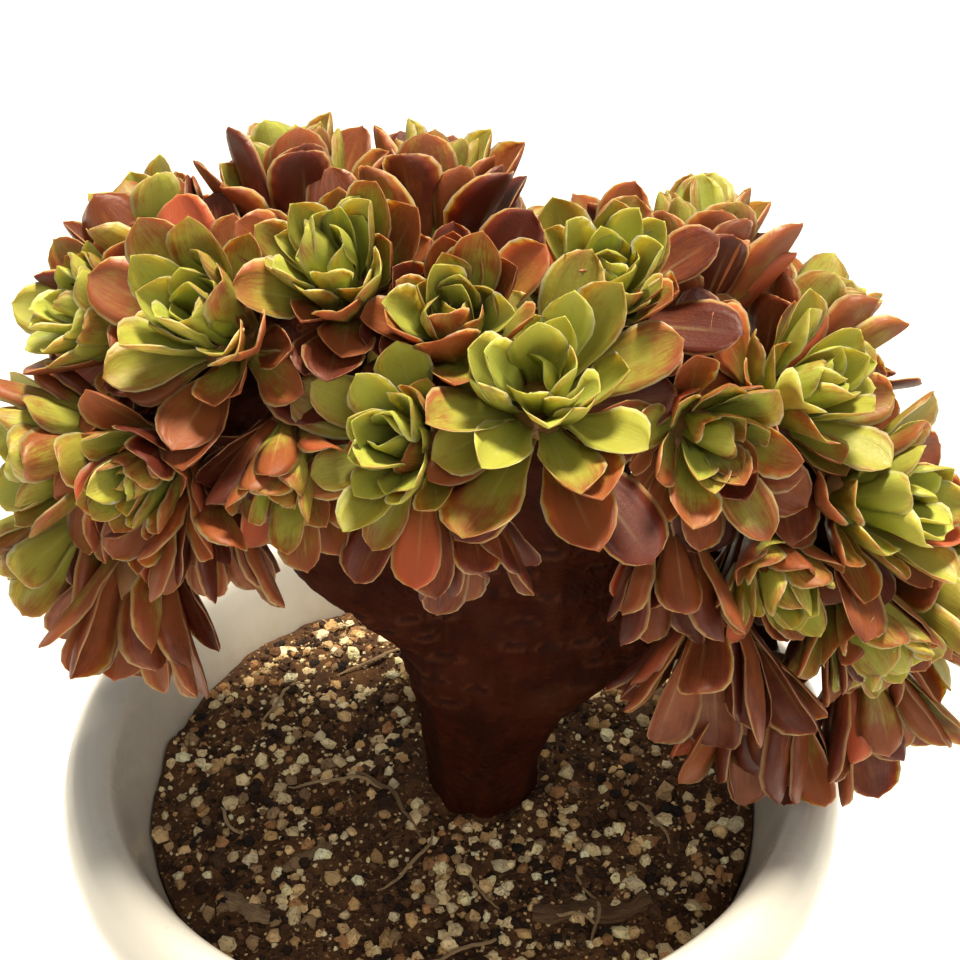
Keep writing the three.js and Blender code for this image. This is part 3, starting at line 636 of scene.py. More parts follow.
def leaf_material(settings):
    """Waxy leaf: yellow-green when young, olive, then red-brown and maroon with age, redder to the tip.

    The attribute growth holds age, place along the leaf and place across it. The attribute tint holds a draw
    for the leaf, how far it has reddened and which side it is. The thin horny margin is pale; the underside is
    redder, and a little darker as painted shade.
    """
    material, tree, shader = new_material("waxy_leaf")
    where = object_place(tree)
    age, along, across = parts_of(tree, "growth")
    chance, red, side = parts_of(tree, "tint")
    under = ramp(tree, side, 0.5, 0.75)
    out = math(tree, "ABSOLUTE", across)
    leaf_place = add(tree, "ShaderNodeCombineXYZ", X=math(tree, "MULTIPLY", across, 4.2),
                     Y=math(tree, "MULTIPLY", along, 1.6), Z=math(tree, "MULTIPLY", chance, 41.0)).outputs[0]
    vein = noise(tree, leaf_place, 3.4, 3.0, 0.6)
    cloud = noise(tree, where, 130.0, 4.0, 0.6)
    # how red each point is: the leaf's own redness, with painted shade in the oldest leaves and the darkest
    # tufts, more to the tip and the edge, in clouds and streaks
    to_tip = math(tree, "MULTIPLY", ramp(tree, along, 0.25, 1.0), 0.26)
    to_edge = math(tree, "MULTIPLY", ramp(tree, out, 0.45, 1.0), 0.14)
    clouded = math(tree, "MULTIPLY", math(tree, "SUBTRACT", cloud, 0.5), 0.7)
    streaked = math(tree, "MULTIPLY", math(tree, "SUBTRACT", vein, 0.5), 0.42)
    reddened = math(tree, "ADD", math(tree, "ADD", red, to_tip), math(tree, "ADD", to_edge, clouded))
    reddened = math(tree, "ADD", reddened, math(tree, "ADD", streaked, math(tree, "MULTIPLY", under, 0.06)))
    grown = blend(tree, ramp(tree, age, 0.2, 0.85), settings.young, settings.olive)
    blush = blend(tree, ramp(tree, reddened, 0.3, 0.68), grown, settings.brown)
    # maroon for the reddest leaves, which include those darkened as painted shade
    deep = blend(tree, ramp(tree, reddened, 0.7, 1.3), blush, settings.maroon)
    # Painted sunlight: a few reddened leaves, picked by their draw, turn coral towards the tip as if brightly
    # sunlit.
    chosen = ramp(tree, chance, SUNLIT_LEAVES, SUNLIT_LEAVES + 0.01)
    sunlit = ramp(tree, math(tree, "ADD", along, streaked), 0.3, 0.7, 0.3, 0.95)
    sunlit_share = math(tree, "MULTIPLY", math(tree, "MULTIPLY", chosen, ramp(tree, red, 0.3, 0.5)), sunlit)
    coloured = blend(tree, sunlit_share, deep, settings.sunlit_colour)
    # Undersides: redder as their own colour, and a little darker as painted shade.
    underside_shade = blend(tree, math(tree, "MULTIPLY", under, 0.15), coloured,
                blend(tree, 1.0, coloured, (0.62, 0.45, 0.42), "MULTIPLY"))
    # Painted shade: in leaves that have not reddened, the lower third darkens towards a deep green at the base,
    # deep in the rosette.
    base_shade = math(tree, "MULTIPLY", ramp(tree, along, 0.3, 0.02, 0.0, 0.6), ramp(tree, red, 0.75, 0.35))
    base_shaded = blend(tree, base_shade, underside_shade, (0.3, 0.33, 0.06))
    rib = math(tree, "MULTIPLY", ramp(tree, out, 0.1, 0.0), ramp(tree, along, 0.95, 0.5, 0.0, 0.3))
    ribbed = blend(tree, rib, base_shaded, blend(tree, 0.5, base_shaded, settings.margin))
    edge = math(tree, "MULTIPLY", ramp(tree, out, 0.86, 0.97), ramp(tree, vein, 0.3, 0.6, 0.45, 0.85))
    rim = blend(tree, ramp(tree, reddened, 0.3, 0.9), settings.margin,
                tuple(c * k for c, k in zip(settings.margin, (0.72, 0.42, 0.42))))
    feed(tree, shader.inputs["Base Color"], blend(tree, edge, ribbed, rim))
    feed(tree, shader.inputs["Roughness"], ramp(tree, cloud, 0.3, 0.7, 0.36, 0.56))
    shader.inputs["Subsurface Weight"].default_value = 0.35
    shader.inputs["Subsurface Radius"].default_value = (1.0, 0.55, 0.2)
    shader.inputs["Subsurface Scale"].default_value = 0.0024
    shader.inputs["Specular IOR Level"].default_value = 0.36
    grain = shared(tree, pitting_group, Place=where, Scale=1100.0, Pits=0.2)["Height"]
    veined = math(tree, "ADD", math(tree, "MULTIPLY", grain, 0.35), math(tree, "MULTIPLY", vein, 0.4))
    relief(tree, shader, veined, 0.0004, 0.6)
    return material


def floor_material(settings):
    """A plain pale floor, very slightly uneven in tone."""
    material, tree, shader = new_material("pale_floor")
    where = object_place(tree)
    shade = tuple(c * 0.985 for c in settings.floor)
    feed(tree, shader.inputs["Base Color"],
         shared(tree, mottle_group, Place=where, Scale=3.0, Amount=0.6, Ground=(*settings.floor, 1),
                Patch=(*shade, 1))["Colour"])
    shader.inputs["Roughness"].default_value = 0.8
    return material


# ---- pot -------------------------------------------------------------------------------------------------

def build_pot(settings):
    """The pot: its profile turned round Z, scaled to its rim radius and height, with the drain holes cut."""
    scale = np.array([settings.rim_radius / RIM_RADIUS] * 2 + [settings.height / POT_HEIGHT])
    points, faces = turned(POT_PROFILE, POT_SIDES)
    body = loose(new_mesh("pot_body", points * scale, *faces))
    low, high = -DRAIN["past"], FLOOR + DRAIN["past"]
    drill = [(0, low), (DRAIN["radius"], low), (DRAIN["radius"], high), (0, high)]
    shape, (quads, fans) = turned(drill, DRAIN["sides"])
    angle = 2 * np.pi * (np.arange(DRAIN["count"]) + 0.5) / DRAIN["count"]
    centre = DRAIN["circle"] * np.stack([np.cos(angle), np.sin(angle), 0 * angle], -1)
    drills = (shape[None] + centre[:, None]).reshape(-1, 3) * MM
    count, stride = DRAIN["count"], len(shape)
    cutter = loose(new_mesh("drills", drills, repeat_faces(quads, count, stride),
                            repeat_faces(fans, count, stride)))
    mesh = finished(body, "BOOLEAN", object=cutter, operation="DIFFERENCE", solver="EXACT")
    bpy.data.objects.remove(cutter)
    place("pot_glazed", mesh, glaze_material(settings), "pot", "pot")
    mesh.set_sharp_from_angle(angle=np.radians(50))


# ---- potting mix -----------------------------------------------------------------------------------------

def soil_height(x, y):
    """Height of the mix in millimetres: a low mound at the trunk, crossed waves and three sizes of noise."""
    mound = MOUND[0] * np.exp(-((np.hypot(x - TRUNK_X, y) / MOUND[1]) ** 2))
    lumps = 1.2 * np.sin(x * 0.19 + 1) * np.cos(y * 0.23) + 0.7 * np.sin(x * 0.47 - y * 0.39)
    flat = np.stack([x, y, 0 * x], -1)
    rough = 0.5 * value_noise(flat / 5, 3) + 0.45 * value_noise(flat / 2.1, 4)
    return SOIL_TOP + mound + lumps + (rough + 0.25 * value_noise(flat / 1.1, 5))


def soil_points(rows, sides):
    """The mix as rings: the hole's wall inside the trunk, the top from trunk to pot, the side and the floor.

    A ring's centre slides from the trunk's axis to the pot's as its radius grows, and its height follows
    soil_height on the top.
    """
    angle = 2 * np.pi * np.arange(sides) / sides
    out = np.linspace(0, 1, rows) ** 0.9
    hole_radius, hole_z = np.array(SOIL_HOLE, float).T
    under_radius, under_z = np.array(SOIL_UNDER, float).T
    radius = np.concatenate([hole_radius, mix(hole_radius[-1], SOIL_RADIUS, out), under_radius])
    middle = np.concatenate([[TRUNK_X] * len(hole_z), mix(TRUNK_X, 0, out), [0] * len(under_z)])
    x = middle[:, None] + radius[:, None] * np.cos(angle)
    y = radius[:, None] * np.sin(angle)
    z = soil_height(x, y)
    z[:len(hole_z)] = hole_z[:, None]
    z[-len(under_z):] = under_z[:, None]
    body = np.stack([x, y, z], -1).reshape(-1, 3)
    return np.concatenate([[[TRUNK_X, 0, hole_z[0]]], body, [[0, 0, under_z[-1]]]]), len(radius)


def icosahedron():
    """Twelve points: three golden rectangles set square to each other, and the twenty faces between them."""
    g = (1 + 5 ** 0.5) / 2
    points = np.array([(-1, g, 0), (1, g, 0), (-1, -g, 0), (1, -g, 0), (0, -1, g), (0, 1, g), (0, -1, -g),
                       (0, 1, -g), (g, 0, -1), (g, 0, 1), (-g, 0, -1), (-g, 0, 1)])
    faces = np.array([(0, 11, 5), (0, 5, 1), (0, 1, 7), (0, 7, 10), (0, 10, 11), (1, 5, 9), (5, 11, 4),
                      (11, 10, 2), (10, 7, 6), (7, 1, 8), (3, 9, 4), (3, 4, 2), (3, 2, 6), (3, 6, 8),
                      (3, 8, 9), (4, 9, 5), (2, 4, 11), (6, 2, 10), (8, 6, 7), (9, 8, 1)])
    return unit(points), faces


def scattered(count, first, size, flatness, sunk):
    """Grains strewn over the mix: an icosahedron each, its corners pushed in and out, stretched and turned.

    The place is an even draw over the disc outside the trunk, thinned out where a broad noise is low. The
    size falls off as a power of a draw, and the middle lies above the mix by the share sunk of its height.
    """
    shape, faces = icosahedron()
    seed = first + np.arange(count) * 11
    radius = np.sqrt(mix(0.03, 1, draw(seed))) * (SOIL_RADIUS - STREWN["edge"])
    angle = 2 * np.pi * draw(seed + 1)
    x, y = radius * np.cos(angle), radius * np.sin(angle)
    cluster = value_noise(np.stack([x / STREWN["cluster"], y / STREWN["cluster"], 0 * x + first], -1), 17)
    kept = draw(seed + 12) < STREWN["kept"] + STREWN["clustered"] * cluster
    free = kept & (np.hypot(x - TRUNK_X, y) > STREWN["trunk"])
    seed, x, y, radius = seed[free], x[free], y[free], radius[free]
    drawn = mix(*size, draw(seed + 2) ** STREWN["size_fall"])
    big = np.minimum(drawn, SOIL_RADIUS + STREWN["past"] - radius)
    corner = 1 + spread(seed[:, None] * 13 + np.arange(len(shape)) * 5, STREWN["rough"])
    local = shape[None] * (corner * big[:, None])[..., None]
    tall = flatness * (0.8 + 0.4 * draw(seed + 4))
    local = local * np.stack([1.25 - 0.5 * draw(seed + 3), 1 + 0 * big, tall], -1)[:, None]
    lean = unit(np.stack([spread(seed + 5, 1), spread(seed + 6, 1), 0 * x + 0.2], -1))
    local = turn_about(local, lean, spread(seed + 7, 0.9))
    local = turn_about(local, np.array([0, 0, 1.0]) + 0 * local[:, 0], 6.3 * draw(seed + 8))
    z = soil_height(x, y) + big * flatness * sunk
    return local + np.stack([x, y, z], -1)[:, None], faces, seed


def turn_about(points, axis, angle):
    """Rodrigues' turn of each shape's points (shape, point, xyz) about its own axis through the origin."""
    axis = axis[:, None]
    c, s = np.cos(angle)[:, None, None], np.sin(angle)[:, None, None]
    return points * c + np.cross(axis, points) * s + axis * dot(points, axis) * (1 - c)


def strewn(name, material, palette, count, **grains):
    """A piece of many scattered grains, each with a colour drawn from the palette, mostly its first ones."""
    points, faces, seed = scattered(count, **grains)
    corners = points.shape[1]
    mesh = new_mesh(name, points.reshape(-1, 3) * MM, repeat_faces(faces, len(points), corners))
    pick = np.array(palette)[(draw(seed + 9) ** STREWN["pale_fall"] * len(palette)).astype(int)]
    shade = 0.75 + 0.5 * draw(seed + 10)[:, None]
    attribute(mesh, "grain_colour", np.repeat(np.clip(pick * shade, 0, 1), corners, 0))
    place(name, mesh, material, "soil", smooth=False)


# Fine roots and bark scraps on the mix: start x, y, heading in degrees, length, half thickness, half width,
# curl and tone. What is wider than SCRAP is a scrap.
SCRAP = 1
STRAND_STEPS = 16
STRAND_SIDES = 6
STRANDS = [
    (-46, 2, -12, 30, 0.45, 0.5, 0.5, 0.9), (-32, 4, -32, 34, 0.5, 0.6, -0.9, 0.35),
    (-20, -36, 30, 26, 0.4, 0.5, 1.4, 0.75), (18, -44, 4, 30, 1.3, 3.4, 0.2, 0.12),
    (-58, -36, -38, 16, 0.9, 2.6, 0.3, 0.5), (30, -30, -60, 24, 0.4, 0.5, -1.2, 0.6),
    (-8, -58, 12, 22, 0.45, 0.6, 0.7, 0.7), (48, 26, 40, 16, 1.0, 3.0, 0.4, 0.3),
    (-54, 22, 70, 20, 0.4, 0.5, -0.8, 0.8), (40, -50, 150, 20, 0.4, 0.5, 1.0, 0.85),
    (-36, 44, 15, 24, 0.45, 0.6, 0.9, 0.6), (10, 52, -20, 26, 0.4, 0.5, -0.6, 0.8),
    (56, -22, 110, 18, 0.4, 0.5, 0.8, 0.7), (-30, -22, 200, 14, 0.8, 2.2, 0.2, 0.35),
    (4, -26, -80, 18, 0.4, 0.45, 1.1, 0.65), (-62, -6, -70, 14, 0.4, 0.5, 0.6, 0.9),
]


def strands():
    """Tubes that lie on the mix: an arc in plan whose height follows the mix, a root with a low hump in it.

    A root tapers to both ends. A scrap is blunt, and two crossed waves along it make its edges ragged.
    """
    x, y, heading, long, thick, wide, curl, tone = np.array(STRANDS, float).T[..., None]
    scrap = wide > SCRAP
    u = np.linspace(0, 1, STRAND_STEPS)[None]
    bearing = np.radians(heading) + curl * (u - 0.2) + 0.25 * np.sin(u * 9 + x)
    step = long / (STRAND_STEPS - 1)
    px = x + np.cumsum(np.cos(bearing) * step, 1)
    py = y + np.cumsum(np.sin(bearing) * step, 1)
    reach = np.maximum(np.hypot(px, py) / (SOIL_RADIUS - 3), 1)
    px, py = px / reach, py / reach
    pz = soil_height(px, py) + thick * 0.5 + 1.6 * np.sin(np.pi * u) * ~scrap
    path = np.stack([px, py, pz], -1)
    run = unit(np.gradient(path, axis=1))
    across = unit(np.cross(run, np.array([0, 0, 1.0])))
    up = np.cross(across, run)
    a = 2 * np.pi * np.arange(STRAND_SIDES) / STRAND_SIDES
    taper = np.sin(np.pi * mix(0.06, 0.94, u)) ** np.where(scrap, 0.2, 0.4)
    ragged = 1 + 0.3 * scrap * np.sin(u * 21 + x) * np.sin(u * 8 + y)
    half_width, half_height = (wide * taper * ragged)[..., None, None], (thick * taper)[..., None, None]
    rings = (path[:, :, None] + across[:, :, None] * np.cos(a)[:, None] * half_width
             + up[:, :, None] * np.sin(a)[:, None] * half_height)
    count = len(STRANDS)
    points = np.concatenate([path[:, :1], rings.reshape(count, -1, 3), path[:, -1:]], 1)
    quads, fans = capped_faces(STRAND_STEPS, STRAND_SIDES)
    stride = points.shape[1]
    mesh = new_mesh("roots", points.reshape(-1, 3) * MM, repeat_faces(quads, count, stride),
                    repeat_faces(fans, count, stride))
    along = np.concatenate([[0], np.repeat(u[0], STRAND_SIDES), [1]])
    around = np.concatenate([[0], np.tile(a / (2 * np.pi), STRAND_STEPS), [0]])
    own = np.repeat(tone, stride, 1)
    attribute(mesh, "strand", np.stack([along + 0 * own, around + 3 * own, own], -1))
    place("roots_and_scraps", mesh, root_material(), "soil")
    mesh.set_sharp_from_angle(angle=np.radians(40))


def build_mix(settings):
    """The mix, its pale grit, its dark crumbs and the dry roots on it."""
    points, rings = soil_points(SOIL_RINGS, SOIL_SIDES)
    mesh = new_mesh("potting_mix", points * MM, *capped_faces(rings, SOIL_SIDES))
    place("potting_mix", mesh, peat_material(settings), "soil", "soil")
    grit = grit_material()
    strewn("grit", grit, GRIT_PALETTE, settings.grains, **GRIT)
    strewn("crumbs", grit, CRUMB_PALETTE, settings.crumbs, **CRUMBS)
    strands()


# ---- stem ------------------------------------------------------------------------------------------------

def relaxed(points, edges, rounds):
    """Points moved towards the mean of their neighbours and back, round after round, to smooth the facets."""
    count = np.bincount(edges.ravel(), minlength=len(points))[:, None]
    for step in ROUNDING * rounds:
        total = np.zeros_like(points)
        for axis in range(3):
            total[:, axis] = (np.bincount(edges[:, 0], points[edges[:, 1], axis], len(points))
                              + np.bincount(edges[:, 1], points[edges[:, 0], axis], len(points)))
        points = points + step * (total / count - points)
    return points


def scar_marks(x, y, z):
    """Leaf scars: flat lenses in offset rows, evenly spaced round the stem and up it. Gives mark and rim.

    The place round the stem is x plus an angle that grows from front to back, so the rows run on round it.
    """
    round_stem = x + 1.7 * np.arctan2(y, 12) * 8
    row = np.floor(z / SCARS["up"])
    cell = round_stem / SCARS["round"] + 0.5 * (row % 2) + 0.3 * draw(row)
    column = np.floor(cell)
    key = row * 57 + column
    du = (cell - column - 0.5 + spread(key, 0.2)) * SCARS["round"]
    dv = (z / SCARS["up"] - row - 0.5 + spread(key + 3, 0.2)) * SCARS["up"]
    away = np.hypot(du / mix(2.2, 3.4, draw(key + 5)), (dv + 0.12 * du * du / 3) / 1.1)
    there = draw(key + 8) > SCARS["missing"]
    return (1 - smooth_step(0.7, 1.0, away)) * there, np.exp(-((away - 1.15) / 0.22) ** 2) * there


def build_stem(settings):
    """The CAD stem remeshed finely, its facets rounded off, then raised and sunk along its normals.

    The height is the sum of broad lumps, grooves that run up the stem and wander, and the leaf scars.
    """
    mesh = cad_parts["stem"].data.copy()
    merged = bmesh.new()
    merged.from_mesh(mesh)
    bmesh.ops.remove_doubles(merged, verts=merged.verts, dist=1e-6)
    merged.to_mesh(mesh)
    merged.free()
    mesh = finished(loose(mesh), "REMESH", mode="VOXEL", voxel_size=settings.grain)
    edges = np.empty(len(mesh.edges) * 2, np.int32)
    mesh.edges.foreach_get("vertices", edges)
    points = relaxed(points_of(mesh), edges.reshape(-1, 2), ROUNDS)
    move_points(mesh, points)
    normals = np.empty(len(points) * 3, np.float32)
    mesh.vertices.foreach_get("normal", normals)
    normals = normals.reshape(-1, 3)
    here = points / MM
    x, y, z = here.T
    wander = WANDER["reach"] * value_noise(here / WANDER["size"], 7)
    stretched = np.stack([(x + wander) / GROOVE["width"], y / GROOVE["width"], z / GROOVE["length"]], -1)
    groove = np.clip(1 - np.abs(value_noise(stretched, 11)) * 2, -1, 1)
    lumps = value_noise(here / LUMP["size"], 13)
    bare = smooth_step(*SCARS["starts"], z) * mix(SCARS["share"], 1, smooth_step(*SCARS["full"], z))
    scar, rim = (mark * bare for mark in scar_marks(x, y, z))
    height = (lumps * LUMP["height"] * MM - groove * settings.groove * 0.5 - scar * settings.scar
              + rim * settings.scar * 0.5)
    move_points(mesh, points + normals * height[:, None])
    attribute(mesh, "bark", np.stack([scar, 0.5 - 0.5 * groove + 0.2 * lumps, rim], -1))
    place("stem_bark", mesh, bark_material(settings), "stem", "stem")


# ---- heads -----------------------------------------------------------------------------------------------

def head_frame(at, faces):
    """Where a head springs from, its axis, and two directions square to the axis and to each other."""
    faces = unit(np.array(faces, float))
    u = unit(np.cross((0.31, 0.24, 0.92), faces))
    return np.array(at, float), faces, u, np.cross(faces, u)


def core_radius(height):
    up = np.clip((height - CORE["shoulder"]) / (CORE["top"] - CORE["shoulder"]), 0, 1)
    return mix(CORE["radius"], CORE["top_radius"], up)


def leaf_plan(number, head, k, nudge, filling=False):
    """Where leaf k of a head springs from, how it lies, its length, width, bend and cup, over k and nudge.

    Leaves follow each other by the golden angle. With age a leaf tilts out from the head's axis, grows, and
    hangs down. Draws stray each of these. A nudge (scale, tilt, turn) clears it from its neighbours.
    """
    (at, faces, u, v), size, openness, hang = head
    scale, lift, twist = nudge
    own = FILLING if filling else MODELLED
    seed = number * 97 + k * 7
    age = np.maximum(1 - k / (LEAVES_IN_HEAD - 1), 0)
    turn = number * 1.3 + k * GOLDEN_ANGLE + spread(seed, STRAY["turn"]) + twist
    tilt = mix(YOUNG["tilt"], OLD["tilt"] * openness, age)
    tilt = tilt + spread(seed + 1, STRAY["tilt"] * own["stray"]) + lift
    share = mix(YOUNG["share"], OLD["share"], age ** 0.7) * (1 + spread(seed + 2, STRAY["length"]))
    long = LEAF_LENGTH * size * share * scale * own["length"]
    turn, tilt, age = (np.asarray(a, float)[..., None] for a in (turn, tilt, age + 0 * turn))
    radial = u * np.cos(turn) + v * np.sin(turn)
    root = mix(YOUNG["root"], OLD["root"], age)
    base = at + faces * root * size + radial * (core_radius(root) - LEAF_SUNK) * size
    along = faces * np.cos(tilt) + radial * np.sin(tilt)
    along = unit(along + np.array([0, 0, -hang]) * age * age * (1 - faces[2]))
    face = faces * np.sin(tilt) - radial * np.cos(tilt)
    face = unit(face - along * dot(face, along))
    roll = (spread(seed + 3, STRAY["roll"] * own["stray"]) + 0 * tilt[..., 0])[..., None]
    face = face * np.cos(roll) + np.cross(along, face) * np.sin(roll)
    age = age[..., 0]
    wide = (mix(YOUNG["width"], OLD["width"], age) + spread(seed + 4, STRAY["width"])) * own["width"]
    bend = mix(YOUNG["bend"], OLD["bend"], age) * own["bend"] + spread(seed + 5, STRAY["bend"] * own["bend"])
    return {
        "base": base, "along": along, "face": face, "side": np.cross(along, face), "length": long,
        "half": long * wide / 2,
        "bend": bend,
        "cup": mix(YOUNG["cup"], OLD["cup"], age) + spread(seed + 6, STRAY["cup"]) + 0 * age,
        "age": age, "seed": seed + 0 * age,
    }


def leaf_points(leaf, t, s, share, rise):
    """A leaf's surface: an arc along it, s half widths across it, a shallow gutter and the rise over that."""
    long, bend, half, cup = (leaf[key][..., None] for key in ("length", "bend", "half", "cup"))
    base, along, face, side = (leaf[key][..., None, :] for key in ("base", "along", "face", "side"))
    angle = bend * t
    up = face * np.cos(angle)[..., None] - along * np.sin(angle)[..., None]
    return (base
            + along * (long * np.sin(angle) / bend)[..., None]
            + face * (long * (1 - np.cos(angle)) / bend)[..., None]
            + side * (s * share * half)[..., None]
            + up * (cup * s * s * share * half + rise)[..., None])


def in_order(nudges):
    """All nudges of the scales, tilts and turns given, those that move a leaf least first."""
    options = np.array(np.meshgrid(*nudges, indexing="ij")).reshape(3, -1)
    scale, tilt, turn = options
    effort = np.abs(tilt) + NUDGE_EFFORT["turn"] * np.abs(turn) + NUDGE_EFFORT["scale"] * (1 - scale)
    return options[:, np.argsort(effort, kind="stable")]


def settled_nudges(number, head, corners, modelled):
    """The nudge that CAD gave each modelled leaf: the one whose outline lies on corners of the CAD head.

    A leaf with no such nudge was left out there, and is left out here.
    """
    options = in_order(NUDGES)
    (t0, w0), (t1, w1) = CAD_OUTLINE
    found = []
    for k in modelled:
        plan = leaf_plan(number, head, np.full(options.shape[1], k), options)
        marks = leaf_points(plan, np.array([1, t1, t1, t0, t0]), np.array([0, 1, -1, 1, -1]),
                            np.array([0, w1, w1, w0, w0]), 0.0)
        gap = np.linalg.norm(marks[:, :, None] - corners[None, None], axis=-1).min(-1)
        hits = (gap < CORNER_MATCH).sum(-1)
        best = int(np.argmax(hits))
        if hits[best] > 0:
            found.append((k, *options[:, best]))
    return np.array(found).T


def head_of(name):
    at, faces, size, _, openness, hang = HEADS[name]
    return head_frame(at, faces), size, openness, hang


def leaf_numbers(name):
    """The numbers of a head's leaves that CAD models, and of those that it leaves out."""
    every = np.arange(*(0, LEAVES_IN_TUFT) if name in TUFTS else (-OLDEST_LEAVES, LEAVES_IN_HEAD))
    stepped = (every - OUTER_LEAVES - 1) % INNER_STEP == 0
    in_cad = (every >= 0) & ((every <= OUTER_LEAVES) | stepped)
    return every[in_cad], every[~in_cad]


def picked(leaves, which):
    return {key: value[which] for key, value in leaves.items()}


def joined(sets):
    return {key: np.concatenate([leaves[key] for leaves in sets]) for key in sets[0]}


def crossing(moved, still):
    """How far each moved leaf passes through the still ones, in millimetres, summed over its probe points.

    The points are measured in a still leaf's own frame: a share of its length, a share of its half width and
    a height over its bent and cupped surface. Inside its outline, what lies over it and what lies under it
    are summed apart, and the lesser sum counts.
    """
    t, s = (grid.ravel() for grid in np.meshgrid(PROBE_ALONG, PROBE_ACROSS))
    row_t, row_w, _ = np.array(LEAF_ROWS).T
    points = leaf_points(moved, t, s, np.interp(t, row_t, row_w), 0.0)
    away = points[:, None] - still["base"][None, :, None]
    a, b, h = (np.einsum("mnpi,ni->mnp", away, still[key]) for key in ("along", "side", "face"))
    long, half, bend, cup = (still[key][None, :, None] for key in ("length", "half", "bend", "cup"))
    angle = np.arcsin(np.clip(a * bend / long, -0.99, 0.99))
    share = np.interp(angle / bend, row_t, row_w)
    w = b / (half * share)
    over = h - long * (1 - np.cos(angle)) / bend - cup * w * w * share * half
    over = over * ((angle / bend > 0.2) & (angle / bend < 1) & (np.abs(w) < 1))
    return np.minimum(np.maximum(over, 0).sum(-1), np.maximum(-over, 0).sum(-1)).sum(-1)


def grow_leaves():
    """All leaves of all heads: those that CAD models, then the others, each nudged clear of what is there.

    A leaf takes the first nudge that crosses nothing, or else the least crossed one, and is left out where
    even that one passes far through its neighbours.
    """
    grown = {}
    for number, name in enumerate(HEADS):
        head = head_of(name)
        corners = np.unique(np.round(points_of(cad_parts[name].data) / MM, 4), axis=0)
        k, *nudge = settled_nudges(number, head, corners, leaf_numbers(name)[0])
        grown[name] = leaf_plan(number, head, k, nudge)
    options = in_order(FILLING_NUDGES)
    there = joined(list(grown.values()))
    for number, name in enumerate(HEADS):
        head = head_of(name)
        for k in leaf_numbers(name)[1]:
            leaf = leaf_plan(number, head, np.full(options.shape[1], k), options, filling=True)
            apart = np.linalg.norm(there["base"] - leaf["base"][0], axis=-1)
            near = picked(there, apart < NEAR)
            crossed = crossing(picked(leaf, slice(0, 1)), near)
            if crossed[0] > TOUCHING:
                crossed = crossing(leaf, near)
            best = int(np.argmin(np.round(crossed, 1)))
            if crossed[best] < CROSSED:
                chosen = picked(leaf, slice(best, best + 1))
                there = joined([there, chosen])
                grown[name] = joined([grown[name], chosen])
    return grown


def build_head(name, leaf, material, settings):
    """A rosette: its leaves as closed thin shells, and the core that holds them."""
    _, _, size, redness_and_shade, _, _ = HEADS[name]
    head = head_of(name)
    leaves = len(leaf["age"])
    row_t, row_w, row_thick = np.array(LEAF_ROWS).T
    t = np.repeat(row_t, LEAF_COLUMNS)[None]
    s = np.tile(LEAF_ACROSS, len(row_t))[None]
    side = np.tile(LEAF_SIDE, len(row_t))[None]
    own = leaf["seed"][:, None]
    share = np.repeat(row_w, LEAF_COLUMNS)[None] * (1 + LEAF_UNEVEN * np.sin(t * 7 + own))
    thick = size * mix(YOUNG["thick"], OLD["thick"], leaf["age"])[:, None]
    full = np.repeat(row_thick, LEAF_COLUMNS)[None] * thick
    over, under = LEAF_CROWN
    depth = np.where(side < 0.5, over * (1 - s * s), -under * (1 - np.abs(s) ** 1.5)) * full * (side != 0.5)
    wave = settings.wave / MM * np.sin(t * 13 + own * 2.1 + s * 1.5) * np.abs(s) ** 3
    channel = np.exp(-(s / LEAF_CHANNEL["width"]) ** 2) * (side == 0) * smooth_step(0.9, 0.3, t)
    rise = depth + wave - LEAF_CHANNEL["depth"] * channel - LEAF_LOWERED
    rings = leaf_points(leaf, t, s, share, rise)
    ends = leaf_points(leaf, np.array([[0.0, 1.0]]), np.zeros((1, 2)), np.ones((1, 2)), -LEAF_LOWERED)
    points = np.concatenate([ends[:, :1], rings, ends[:, 1:]], 1)
    stride = points.shape[1]
    quads, fans = capped_faces(len(row_t), LEAF_COLUMNS)
    core = core_points(head[0], size)
    core_quads, core_fans = capped_faces(len(CORE_RINGS), CORE_SIDES)
    after = leaves * stride
    mesh = new_mesh(name + "_leaves", np.concatenate([points.reshape(-1, 3), core]) * MM,
                    repeat_faces(quads, leaves, stride), repeat_faces(fans, leaves, stride),
                    core_quads + after, core_fans + after)
    chance = draw(leaf["seed"] + 31)
    red = redness_and_shade_of(leaf["age"], redness_and_shade, draw(leaf["seed"] + 47))
    grown = np.broadcast_arrays(leaf["age"][:, None], with_ends(t, 0, 1), with_ends(s, 0, 0))
    tinted = np.broadcast_arrays(chance[:, None], red[:, None], with_ends(side, 1, 0.5))
    for key, values, of_core in (
        ("growth", grown, CORE_GROWTH),
        ("tint", tinted, (CORE_CHANCE, mix(*CORE_REDNESS, redness_and_shade), 1)),
    ):
        of_leaves = np.stack(values, -1).reshape(-1, 3)
        attribute(mesh, key, np.concatenate([of_leaves, np.tile(of_core, (len(core), 1))]))
    place(name + "_leaves", mesh, material, "leaf", name)


def core_points(axes, size):
    """A head's core: rings of points round its axis, between one point in its neck and one at its bud."""
    at, forward, u, v = axes
    height, radius = np.array(CORE_RINGS).T[..., None, None]
    angle = 2 * np.pi * np.arange(CORE_SIDES) / CORE_SIDES
    around = u * np.cos(angle)[:, None] + v * np.sin(angle)[:, None]
    wall = (around[None] * radius + forward * height) * size
    return at + np.concatenate([[0 * forward], wall.reshape(-1, 3), [forward * CORE["height"] * size]])


def with_ends(values, first, last):
    return np.concatenate([[[first]], values, [[last]]], 1)


